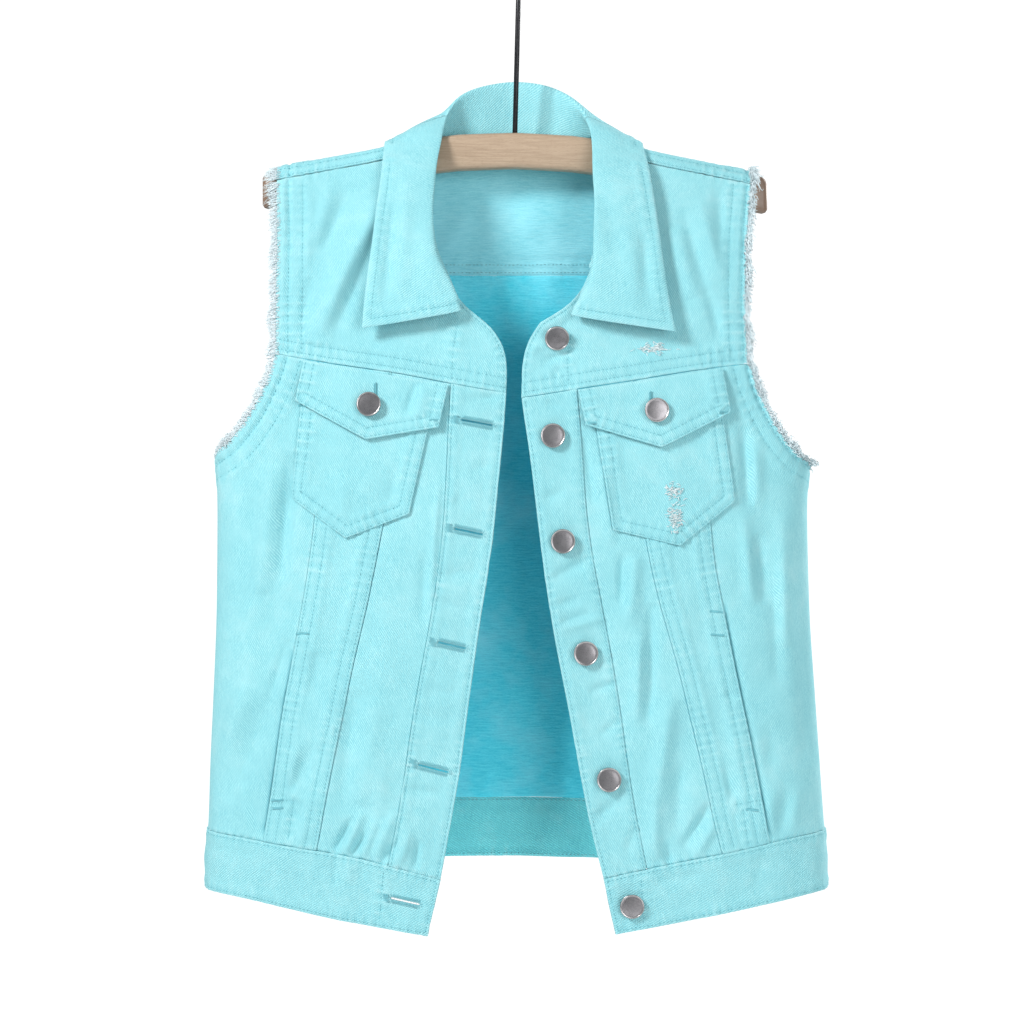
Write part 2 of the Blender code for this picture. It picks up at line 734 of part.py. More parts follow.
def add_side_panel(side):
    """Side panel of a front: from the outer seam round to the side seam, up to the armhole."""
    half = SEAM_GAP / 2
    start = crossing(side, OUTER_SEAM, FRONT_BAND_TOP, side * half, half)
    peak = crossing(side, OUTER_SEAM, YOKE_SEAM, side * half, -half)
    arm_places = armhole_points(side, 1)
    arm_start = next(i for i, (x, z) in enumerate(arm_places) if z < across(YOKE_SEAM, x) - half)
    arm = arm_places[arm_start:]
    corner = (arm[0][0], across(YOKE_SEAM, arm[0][0]) - half)
    limit = side * SIDE_SEAM_LIMIT
    band_x = side * half_width(side, -685.5)
    bottom = horizontal(FRONT_BAND_TOP, start[0], band_x, half)
    bottom[-1] = (limit, bottom[-1][1])
    arm_line = unroll([corner] + arm)
    arm_line[-1] = (limit, UNDERARM_Z[side])
    top = joined(horizontal(YOKE_SEAM, peak[0], corner[0], -half), 4, arm_line, 8)
    inner = vertical(side, OUTER_SEAM, start[1], peak[1], side * half)
    outer = [(limit, z) for z in np.linspace(bottom[-1][1], UNDERARM_Z[side], 24)]
    grid = span(bottom, top, inner, outer, closed_in(11, 0, 0.04), even(17))
    add_wall(f"front_side_{side_name(side)}", lay(grid, FRONT, 0), PANEL_WALL, (0, -1, 0))


def shoulder_seam_point(x):
    """Place on the shoulder seam, a little below the ridge."""
    return x, ridge_z(x) - SHOULDER_SEAM_DROP - SHOULDER_SEAM_GAP


def add_front_yokes():
    """The yoke of each front, from the shoulder seam down to the yoke seam."""
    half = SEAM_GAP / 2
    for side in (LEFT, RIGHT):
        neck = [(side * x, z) for x, z in NECKLINE[side]]
        foot_x = down(side, EDGE, -362.0)
        neck.append((foot_x, across(YOKE_SEAM, foot_x) + half))
        neck[0] = shoulder_seam_point(neck[0][0])
        arm = [p for p in armhole_points(side, 1) if p[1] > across(YOKE_SEAM, p[0]) + 2]
        top_x = side * ARMHOLE[side][0][1]
        arm = [shoulder_seam_point(top_x)] + arm
        arm.append((arm[-1][0], across(YOKE_SEAM, arm[-1][0]) + half))
        outer = unroll(arm[::-1])
        inner = smooth_run(unroll(neck[::-1]), 16)
        bottom = horizontal(YOKE_SEAM, arm[-1][0], foot_x, half)
        shoulder = np.linspace(top_x, neck[0][0], 24)
        top = unroll([shoulder_seam_point(x) for x in shoulder])
        if side == RIGHT:
            bottom, top = bottom[::-1], top[::-1]
            outer, inner = inner, outer
        grid = span(bottom, top, outer, inner, even(10), even(14))
        add_wall(f"front_yoke_{side_name(side)}", lay(grid, FRONT, 0), PANEL_WALL, (0, -1, 0))


def shoulder_point(face, x, drop):
    """Point of the cloth over the shoulder at a drop below the ridge."""
    z = ridge_z(x) - drop
    return skin(face, girth_share(x, z), z)


def neck_back_point(x, share):
    """Point of the back yoke below the back neckline, at a share of the way to the yoke seam."""
    out = abs(x) / NECK_HALF
    top = ridge_z(NECK_HALF * side_of(x)) * out + ridge_z(NECK_HALF) * (1 - out)
    top = top - NECK_BACK_DIP * (1 - (x / NECK_HALF) ** 2)
    z = top + (BACK_YOKE_SEAM_Z + SEAM_GAP / 2 - top) * share
    bow = NECK_BACK_DEPTH * math.sqrt(max(0.0, 1 - (x / NECK_HALF) ** 2))
    on_body = skin(BACK, girth_share(x, z), z)
    deeper = max(bow, on_body.y) if share == 0 else on_body.y
    return Vector((x, bow if share == 0 else deeper, z))


def add_back_yoke():
    """The back yoke, which folds over the shoulders to the front and leaves the neck open."""
    front_drops = (SHOULDER_SEAM_DROP, 6.0, 2.2, 0.6)
    back_drops = (0.0, 1.2, 4.5, 10.0)
    body_rows = 7
    strap = 6
    middle = 8
    wide = [ARMHOLE[side][0][1] for side in (LEFT, RIGHT)]
    xs = list(np.linspace(-wide[0], -NECK_HALF, strap + 1))
    xs += [-NECK_HALF * math.cos(math.pi * k / middle) for k in range(1, middle)]
    xs += list(np.linspace(NECK_HALF, wide[1], strap + 1))
    grid = []
    for drop in front_drops:
        grid.append([shoulder_point(FRONT, x, drop) for x in xs])
    seam = BACK_YOKE_SEAM_Z + SEAM_GAP / 2
    for row in range(len(back_drops) + body_rows):
        line = []
        for x in xs:
            in_neck = abs(x) < NECK_HALF - 1e-6
            share = max(0.0, (row - len(back_drops) + 1) / body_rows)
            start_share = min(1.0, row / (len(back_drops) - 1)) * 0.09
            if in_neck:
                line.append(neck_back_point(x, start_share + (1 - start_share) * share))
            elif row < len(back_drops):
                line.append(shoulder_point(BACK, x, back_drops[row]))
            else:
                top = ridge_z(x) - back_drops[-1]
                z = top + (seam - top) * share
                edge = side_of(x) * column(ARMHOLE[side_of(x)], 0, z, 2)
                wider = x * edge / (side_of(x) * ARMHOLE[side_of(x)][0][1])
                line.append(skin(BACK, girth_share(wider, z), z))
        grid.append(line)
    rows_above = len(front_drops)
    holes = {(j, i) for j in range(rows_above) for i in range(strap, strap + middle)}
    shift = Vector((HANGER_X, 0, 0))
    grid = [[point + shift for point in row] for row in grid]
    add_wall("back_yoke", grid, PANEL_WALL, (0, 1, 0.2), holes)


def back_arm(side):
    """The back armhole's edge below the yoke seam, as (girth share, z)."""
    points = [p for p in armhole_points(side, 2) if p[1] < BACK_YOKE_SEAM_Z - 2]
    start = (side * column(ARMHOLE[side], 0, BACK_YOKE_SEAM_Z, 2), BACK_YOKE_SEAM_Z - SEAM_GAP / 2)
    limit = side * SIDE_SEAM_LIMIT
    flat = unroll([start] + points)
    flat[-1] = (limit, UNDERARM_Z[side])
    return flat


def back_line(rows, rise, limit):
    """Points of a line across the whole back, as (girth share, z)."""
    points = []
    for s in np.linspace(-limit, limit, 60):
        side = LEFT if s < 0 else RIGHT
        x = side * half_width(side, -690.0) * float(np.interp(abs(s), GIRTH, WIDE))
        points.append((s, across(rows, x) + rise))
    return points


def add_back_panel():
    """The back below the yoke seam: one panel from side seam to side seam."""
    half = SEAM_GAP / 2
    limit = SIDE_SEAM_LIMIT
    edges = {side: back_arm(side) for side in (LEFT, RIGHT)}
    bottom = back_line(BACK_BAND_TOP, half, limit)
    seam_left = edges[LEFT][0]
    seam_right = edges[RIGHT][0]
    top = [(s, seam_left[1]) for s in np.linspace(seam_left[0], seam_right[0], 40)]
    sides = {}
    for side in (LEFT, RIGHT):
        low = bottom[0 if side == LEFT else -1][1]
        seam = [(side * limit, z) for z in np.linspace(low, UNDERARM_Z[side], 30)]
        sides[side] = joined(seam, 11, edges[side][::-1], 7)
    grid = span(bottom, top, sides[LEFT], sides[RIGHT], closed_in(18, 0.008, 0.008), even(18))
    add_wall("back_panel", lay(grid, BACK, 0), PANEL_WALL, (0, 1, 0))


def band_buttonhole(columns, low, high):
    """Puts columns and rows at the edges of the waistband's buttonhole, and names its open cells."""
    centre, z, long = BAND_BUTTONHOLE
    tip = (low[0][0] + high[0][0]) / 2
    run = (low[-1][0] + high[-1][0]) / 2 - tip
    ends = [(girth_share(centre + move, z) - tip) / run for move in (long / 2, 0, -long / 2)]
    columns = sorted([c for c in columns if c == 0 or c > ends[-1] + 0.02] + ends)
    foot = across(FRONT_HEM, centre)
    head = across(FRONT_BAND_TOP, centre)
    rows = [0.0] + [(z + move - foot) / (head - foot) for move in (-0.9, 0.9)] + [1.0]
    first = columns.index(ends[0])
    return columns, rows, {(1, first), (1, first + 1)}


def add_waistband():
    """The waistband, one strip from the left front's tip round the back to the right front's tip."""
    half = SEAM_GAP / 2
    rows = [0.0, 0.33, 0.67, 1.0]
    fronts = {}
    for side in (LEFT, RIGHT):
        low = horizontal(FRONT_HEM, down(side, EDGE, -760.0), side * half_width(side, -728.6), 0)
        high = horizontal(FRONT_BAND_TOP, down(side, EDGE, -719.0), side * half_width(side, -685.5), -half)
        low[-1] = (side, low[-1][1])
        high[-1] = (side, high[-1][1])
        columns = closed_in(12, 0, 0.02)
        if side == LEFT:
            columns, rows, holes = band_buttonhole(columns, low, high)
        fronts[side] = (low, high, columns)
    grids = {}
    for side, (low, high, columns) in fronts.items():
        grids[side] = span(low, high, [low[0], high[0]], [low[-1], high[-1]], columns, rows)
    low = back_line(BACK_HEM, 0, 1.0)
    high = back_line(BACK_BAND_TOP, -half, 1.0)
    ends = [low[0], high[0]], [low[-1], high[-1]]
    back = span(low, high, *ends, closed_in(18, 0.008, 0.008), rows)
    points = []
    for left, behind, right in zip(lay(grids[LEFT], FRONT, PROUD), lay(back, BACK, PROUD),
                                   lay(grids[RIGHT], FRONT, PROUD)):
        points.append(left + behind[1:-1] + right[::-1])
    add_wall("waistband", points, BAND_WALL, (0, 1, 0), holes)


def pointed_grid(side, shape, shares_u, shares_v):
    """Grid of a pocket or flap: straight top, straight sides and a foot with a point."""
    top = [(side * x, z) for x, z in shape["top"]]
    foot = [(side * x, z) for x, z in shape["foot"]]
    flat_top = unroll([(x, z) for x, z in run_between(top, even(12))])
    first = run_between(foot[:2], even(12))
    second = run_between(foot[1:], even(12))
    middle_u = shares_u[len(shares_u) // 2]
    low = unroll(first) + unroll(second)[1:]
    lengths = [math.dist(foot[0], foot[1]), math.dist(foot[1], foot[2])]
    share = lengths[0] / sum(lengths)
    bent = [u / middle_u * share if u <= middle_u else share + (u - middle_u) / (1 - middle_u) * (1 - share)
            for u in shares_u]
    left = unroll(run_between([foot[0], top[0]], even(8)))
    right = unroll(run_between([foot[2], top[1]], even(8)))
    grid = span(low, flat_top, left, right, bent, shares_v)
    return grid


def add_pockets():
    """Patch pockets on the chest and the pointed flaps over them."""
    for side in (LEFT, RIGHT):
        tag = side_name(side)
        grid = pointed_grid(side, POCKETS[side], list(even(8)), even(8))
        height = LAID_GAP + POCKET_WALL
        add_wall(f"pocket_{tag}", lay(grid, FRONT, height), POCKET_WALL, (0, -1, 0))
        flap = pointed_grid(side, FLAPS[side], list(even(8)), even(5))
        base = height + LAID_GAP + FLAP_WALL
        points = []
        for j, row in enumerate(flap):
            points += lay([row], FRONT, base + column(FLAP_LIFT, 0, j / (len(flap) - 1), 1))
        add_wall(f"pocket_flap_{tag}", points, FLAP_WALL, (0, -1, 0))


def turned_profile():
    """Profile of a tack button, from the foot of its shank up to the middle of its cap."""
    brim = BUTTON_SHANK_HEIGHT
    top = brim + BUTTON_CAP_HEIGHT
    return (
        (0.0, 0.0),
        (BUTTON_SHANK_RADIUS, 0.0),
        (BUTTON_SHANK_RADIUS - 0.6, brim),
        (BUTTON_RADIUS - 0.8, brim + 0.2),
        (BUTTON_RADIUS, brim + 0.9),
        (BUTTON_RADIUS - 0.7, top - 0.5),
        (0.0, top),
    )


def add_button(name, x, z, height, lean):
    """A tack button that stands on the cloth, its axis along the cloth's outward direction."""
    shell = bmesh.new()
    verts = [shell.verts.new((r * MM, 0, h * MM)) for r, h in turned_profile()[::-1]]
    for a, b in zip(verts, verts[1:]):
        shell.edges.new((a, b))
    mesh = bpy.data.meshes.new(name)
    shell.to_mesh(mesh)
    shell.free()
    made = add_object(name, mesh, "button_metal")
    turn = made.modifiers.new("turn", "SCREW")
    turn.steps = BUTTON_SIDES
    turn.render_steps = BUTTON_SIDES
    turn.use_merge_vertices = True
    turn.merge_threshold = 0.00001
    turn.use_smooth_shade = True
    s = girth_share(x, z)
    normal = skin_normal(FRONT, s, z)
    tilt = Matrix.Rotation(math.radians(lean), 3, "X")
    axis = tilt @ normal
    spot = raised(FRONT, s, z, height + BUTTON_SHANK_RADIUS * math.sin(math.radians(lean)))
    spot += Vector((HANGER_X, 0, 0))
    made.location = spot * MM
    made.rotation_mode = "QUATERNION"
    made.rotation_quaternion = axis.to_track_quat("Z", "Y")


def add_buttons():
    """Six buttons down the right front and one on each flap."""
    names = ("collar", "chest", "upper", "middle", "lower", "waistband")
    for (x, z, lean), name in zip(PLACKET_BUTTONS, names):
        on_yoke = z > across(YOKE_SEAM, x)
        height = SEAM_GAP if on_yoke else PROUD + SEAM_GAP
        add_button(f"button_{name}", x, z, height, lean)
    over_flap = 2 * LAID_GAP + POCKET_WALL + FLAP_WALL + column(FLAP_LIFT, 0, 0.45, 1) + SEAM_GAP
    for side, (x, z) in FLAP_BUTTONS.items():
        add_button(f"button_flap_{side_name(side)}", x, z, over_flap, 0.0)


def collar_rows():
    """The collar's stations from the left end round the back to the right end."""
    left = []
    for row in COLLAR_HALF[LEFT]:
        left.append(tuple(-v if i in (0, 3, 6) else v for i, v in enumerate(row)))
    right = list(COLLAR_HALF[RIGHT])
    return left + [COLLAR_BACK] + right[::-1]


def collar_section(row):
    """Points across the collar at one station: up the stand, over the fold and down the leaf."""
    seam, fold, edge = (Vector(row[i:i + 3]) for i in (0, 3, 6))
    up = (fold - seam).normalized()
    out = (edge - fold).normalized()
    away = (fold + edge) / 2 - seam
    away = (away - out * away.dot(out)).normalized()
    stand_top = fold - up * FOLD_RADIUS - away * FOLD_RADIUS * 0.6
    leaf_top = fold + out * FOLD_RADIUS * 1.5 + away * min(row[9], 1.5)
    leaf = [fold.lerp(edge, t) + away * row[9] * bulge for t, bulge in LEAF_SHAPE]
    return [seam, seam.lerp(stand_top, 0.55), stand_top, fold, leaf_top] + leaf


def add_collar():
    """One-piece collar: its stand rises from the neckline and its leaf falls outside."""
    rows = collar_rows()
    keys = even(len(rows) - 1)
    grid = []
    for t in even(COLLAR_STATIONS):
        row = [smooth(t, keys, [r[i] for r in rows]) for i in range(10)]
        grid.append([point + Vector((HANGER_X, 0, 0)) for point in collar_section(row)])
    add_wall("collar", grid, COLLAR_WALL, (0, 0, 1), offset=0.0)


def fringe_loop(side):
    """Closed loop of (point, surface normal) round an armhole."""
    front = unroll(armhole_points(side, 1))
    back = unroll(armhole_points(side, 2))
    shoulder = []
    top_x = side * ARMHOLE[side][0][1]
    for face, drops in ((FRONT, (9.0, 5.0, 2.0, 0.5)), (BACK, (0.5, 2.0, 5.0, 9.0))):
        for drop in drops:
            z = ridge_z(top_x) - drop
            s = girth_share(top_x, z)
            shoulder.append((skin(face, s, z), skin_normal(face, s, z)))
    loop = [(skin(FRONT, s, z), skin_normal(FRONT, s, z)) for s, z in front[::-1]]
    loop += shoulder
    loop += [(skin(BACK, s, z), skin_normal(BACK, s, z)) for s, z in back[:-1]]
    return loop


def even_loop(loop, count):
    """The loop's points and normals, evenly spaced and rounded."""
    points = np.array([list(p) for p, _ in loop] + [list(loop[0][0])])
    normals = np.array([list(n) for _, n in loop] + [list(loop[0][1])])
    steps = np.linalg.norm(np.diff(points, axis=0), axis=1)
    length = np.concatenate([[0.0], np.cumsum(steps)])
    wanted = np.linspace(0, length[-1], count, endpoint=False)
    spots = np.column_stack([np.interp(wanted, length, points[:, i]) for i in range(3)])
    ways = np.column_stack([np.interp(wanted, length, normals[:, i]) for i in range(3)])
    for _ in range(3):
        ways = (np.roll(ways, 1, axis=0) + ways * 2 + np.roll(ways, -1, axis=0)) / 4
    return [Vector(p) for p in spots], [Vector(n).normalized() for n in ways]


def add_fringes():
    """The frayed raw edge round each armhole: one strip with threads drawn out of its rim."""
    for side in (LEFT, RIGHT):
        add_fringe(side)


def add_fringe(side):
    """Ragged ring of frayed threads round an armhole."""
    draw = random.Random(FRINGE_SEED + int(side))
    spots, normals = even_loop(fringe_loop(side), FRINGE_SEGMENTS)
    shell = bmesh.new()
    rings = []
    aways = []
    for i, (spot, normal) in enumerate(zip(spots, normals)):
        along = spots[(i + 1) % len(spots)] - spots[i - 1]
        away = along.cross(normal).normalized() * side
        aways.append(away)
        inner = spot + away * FRINGE_GAP
        outer = inner + away * FRINGE_STRIP_WIDTH
        down_in = -normal * FRINGE_WALL
        ring = [inner, outer, outer + down_in, inner + down_in]
        rings.append([shell.verts.new((p + Vector((HANGER_X, 0, 0))) * MM) for p in ring])
    rims = []
    for i, ring in enumerate(rings):
        after = rings[(i + 1) % len(rings)]
        for k in range(4):
            quad = (ring[k], ring[(k + 1) % 4], after[(k + 1) % 4], after[k])
            face = shell.faces.new(quad)
            if k == 1:
                rims.append((face, aways[i]))
    bmesh.ops.recalc_face_normals(shell, faces=shell.faces)
    for number, (face, away) in enumerate(rims):
        if number % 2:
            continue
        length = draw.uniform(FRINGE_SHORTEST, FRINGE_LONGEST)
        sag = draw.uniform(-0.7, 0.1) if spots[number].z < FRINGE_SAG_BELOW else 0.15
        sway = normals[number] * draw.uniform(0, 0.35) + Vector((0, 0, sag))
        tip = bmesh.ops.extrude_discrete_faces(shell, faces=[face])["faces"][0]
        move = (away + sway).normalized() * length * MM
        bmesh.ops.translate(shell, verts=tip.verts, vec=move)
        centre = tip.calc_center_median()
        bmesh.ops.scale(
            shell, verts=tip.verts, vec=(FRINGE_TIP_SCALE,) * 3, space=Matrix.Translation(-centre)
        )
    outward(shell)
    mesh = bpy.data.meshes.new("fringe")
    shell.to_mesh(mesh)
    shell.free()
    add_object(f"armhole_fringe_{side_name(side)}", mesh, "denim_fringe")


def hanger_ring(x, shrink):
    """Section of the hanger's arm at one place: a rectangle with rounded corners."""
    top = ridge_z(x) - PANEL_WALL - HANGER_CLEARANCE
    half_y = HANGER_THICKNESS / 2 - shrink
    middle = top - HANGER_HEIGHT / 2
    half_z = HANGER_HEIGHT / 2 - shrink
    rounding = max(0.6, HANGER_ROUNDING - shrink)
    ring = []
    for turn, (side_y, side_z) in enumerate(((1, 1), (-1, 1), (-1, -1), (1, -1))):
        for step in range(3):
            angle = math.radians(90 * turn + 45 * step)
            y = side_y * (half_y - rounding) + rounding * math.cos(angle)
            z = middle + side_z * (half_z - rounding) + rounding * math.sin(angle)
            ring.append(Vector((x, y, z)))
    return ring


def mesh_of(curve_object, name, finish):
    """Makes a curve object into a mesh node with its caps welded."""
    graph = bpy.context.evaluated_depsgraph_get()
    graph.update()
    mesh = bpy.data.meshes.new_from_object(curve_object.evaluated_get(graph))
    shell = bmesh.new()
    shell.from_mesh(mesh)
    bmesh.ops.remove_doubles(shell, verts=shell.verts, dist=0.00001)
    outward(shell)
    shell.to_mesh(mesh)
    shell.free()
    place = curve_object.matrix_world.copy()
    bpy.data.objects.remove(curve_object)
    mesh.materials.clear()
    made = add_object(name, mesh, finish)
    made.matrix_world = place
    return made


def add_hanger():
    """The wooden arm, with rounded long edges and ends, and a bore for the hook's stem."""
    reach = HANGER_HALF_LENGTH
    ends = ((0.0, 3.6), (1.2, 1.4), (4.0, 0.0))
    stations = [(-reach + inset, shrink) for inset, shrink in ends]
    stations += [(x, 0.0) for x in np.linspace(-reach + 20, reach - 20, 17)]
    stations += [(reach - inset, shrink) for inset, shrink in ends[::-1]]
    shell = bmesh.new()
    rings = []
    for x, shrink in stations:
        ring = hanger_ring(x, shrink)
        rings.append([shell.verts.new((point + Vector((HANGER_X, 0, 0))) * MM) for point in ring])
    for ring, after in zip(rings, rings[1:]):
        for k in range(len(ring)):
            n = (k + 1) % len(ring)
            shell.faces.new((ring[k], ring[n], after[n], after[k]))
    shell.faces.new(rings[0])
    shell.faces.new(rings[-1])
    outward(shell)
    mesh = bpy.data.meshes.new("hanger_arm")
    shell.to_mesh(mesh)
    shell.free()
    arm = add_object("hanger_arm", mesh, "hanger_wood")
    bpy.ops.mesh.primitive_cylinder_add(
        vertices=16,
        radius=(HOOK_WIRE_RADIUS + HOOK_BORE_CLEARANCE) * MM,
        depth=2 * (HOOK_STEM_DEPTH + HOOK_BORE_CLEARANCE) * MM,
        location=Vector((HANGER_X, 0, hanger_top_z())) * MM,
        rotation=(0, stem_lean(), 0),
    )
    cutter = bpy.context.object
    cutter.name = "stem_bore"
    cutter.hide_render = True
    cutter.display_type = "WIRE"
    for holder in cutter.users_collection:
        holder.objects.unlink(cutter)
    CUTTERS.objects.link(cutter)
    bore = arm.modifiers.new("stem_bore", "BOOLEAN")
    bore.operation = "DIFFERENCE"
    bore.object = cutter


def hanger_top_z():
    """Height of the hanger's top at its middle."""
    return ridge_z(0) - PANEL_WALL - HANGER_CLEARANCE


def stem_lean():
    """Angle of the stem from the vertical."""
    rise = HOOK_STEM_TOP_Z - hanger_top_z()
    return math.atan2(-HANGER_X * 0.6, rise)


def add_hook():
    """Wire hook: a long straight stem that bends into a round hook above it."""
    centre_z = HOOK_WIRE_RADIUS - HOOK_RADIUS
    foot = Vector((HANGER_X, 0, hanger_top_z()))
    lean = stem_lean()
    along = Vector((math.sin(lean), 0, math.cos(lean)))
    top = foot + along * (HOOK_STEM_TOP_Z - foot.z)
    stem = [foot - along * HOOK_STEM_DEPTH, foot + along * 4, top - along * 4]
    bend = [top, top + Vector((1.2, 0, 4.5)), top + Vector((5.0, 0, 9.5))]
    angles = [math.radians(a) for a in range(-62, 206, 14)]
    ring = [Vector((HOOK_RADIUS * math.cos(a), 0, centre_z + HOOK_RADIUS * math.sin(a))) for a in angles]
    wire = bpy.data.curves.new("hook", "CURVE")
    wire.dimensions = "3D"
    wire.bevel_depth = HOOK_WIRE_RADIUS * MM
    wire.bevel_resolution = 2
    wire.use_fill_caps = True
    points = stem + bend + ring
    line = wire.splines.new("POLY")
    line.points.add(len(points) - 1)
    for point, place in zip(line.points, points):
        point.co = (*(place * MM), 1)
    hook = bpy.data.objects.new("hook", wire)
    GARMENT.objects.link(hook)
    bpy.context.view_layer.update()
    made = mesh_of(hook, "hanger_hook", "hook_wire")
    made.data.shade_smooth()


for old in list(bpy.data.objects):
    bpy.data.objects.remove(old)
GARMENT = bpy.data.collections.new("denim_vest")
CUTTERS = bpy.data.collections.new("cutters")
bpy.context.scene.collection.children.link(GARMENT)
bpy.context.scene.collection.children.link(CUTTERS)

add_front_panels()
add_front_yokes()
add_back_yoke()
add_back_panel()
add_waistband()
add_pockets()
add_buttons()
add_collar()
add_fringes()
add_hanger()
add_hook()
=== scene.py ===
"""Looks of the sleeveless denim jacket on its hanger: cloth, sewing, frayed edges, buttons and wood."""

import math
import random

import bmesh
import bpy
import numpy as np
from mathutils import Matrix, Vector
from mathutils.bvhtree import BVHTree
from mathutils.kdtree import KDTree


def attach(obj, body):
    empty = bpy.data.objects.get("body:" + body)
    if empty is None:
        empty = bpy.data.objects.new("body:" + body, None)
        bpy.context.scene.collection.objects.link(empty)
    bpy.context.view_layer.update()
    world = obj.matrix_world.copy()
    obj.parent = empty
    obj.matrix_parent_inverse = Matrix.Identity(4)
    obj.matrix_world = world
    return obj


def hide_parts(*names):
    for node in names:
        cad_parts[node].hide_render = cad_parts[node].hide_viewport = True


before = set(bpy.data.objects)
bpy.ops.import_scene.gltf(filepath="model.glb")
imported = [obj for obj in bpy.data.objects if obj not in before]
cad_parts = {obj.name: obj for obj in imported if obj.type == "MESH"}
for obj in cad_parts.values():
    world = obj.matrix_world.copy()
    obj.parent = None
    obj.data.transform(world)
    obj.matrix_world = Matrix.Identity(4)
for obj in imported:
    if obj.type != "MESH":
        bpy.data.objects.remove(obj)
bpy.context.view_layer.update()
MM = 0.001
CENTRE_X = -4.4

# Every sheet: the wall it is made of, the flat size it was cut to, and its finish.
SHEETS = {
    # node: wall mm, flat width mm, flat length mm, area cm2, finish
    "front_yoke_left": (1.5, 176, 190, 203, "denim_body"),
    "front_yoke_right": (1.5, 171, 193, 201, "denim_body"),
    "front_centre_left": (1.5, 62, 357, 172, "denim_body"),
    "front_centre_right": (1.5, 60, 355, 163, "denim_body"),
    "front_middle_left": (1.5, 68, 357, 169, "denim_body"),
    "front_middle_right": (1.5, 68, 355, 159, "denim_body"),
    "front_side_left": (1.5, 100, 359, 260, "denim_body"),
    "front_side_right": (1.5, 101, 353, 254, "denim_body"),
    "placket_left": (2.2, 47, 362, 134, "denim_placket"),
    "placket_right": (2.2, 46, 358, 130, "denim_placket"),
    "pocket_left": (1.2, 100, 97, 78, "denim_body"),
    "pocket_right": (1.2, 98, 101, 82, "denim_body"),
    "pocket_flap_left": (1.8, 113, 49, 44, "denim_body"),
    "pocket_flap_right": (1.8, 113, 50, 43, "denim_body"),
    "back_yoke": (1.5, 354, 127, 377, "denim_body"),
    "back_panel": (1.5, 470, 416, 1748, "denim_body"),
    "waistband": (2.6, 850, 45, 377, "denim_band"),
    "collar": (2.2, 480, 112, 354, "denim_collar"),
}

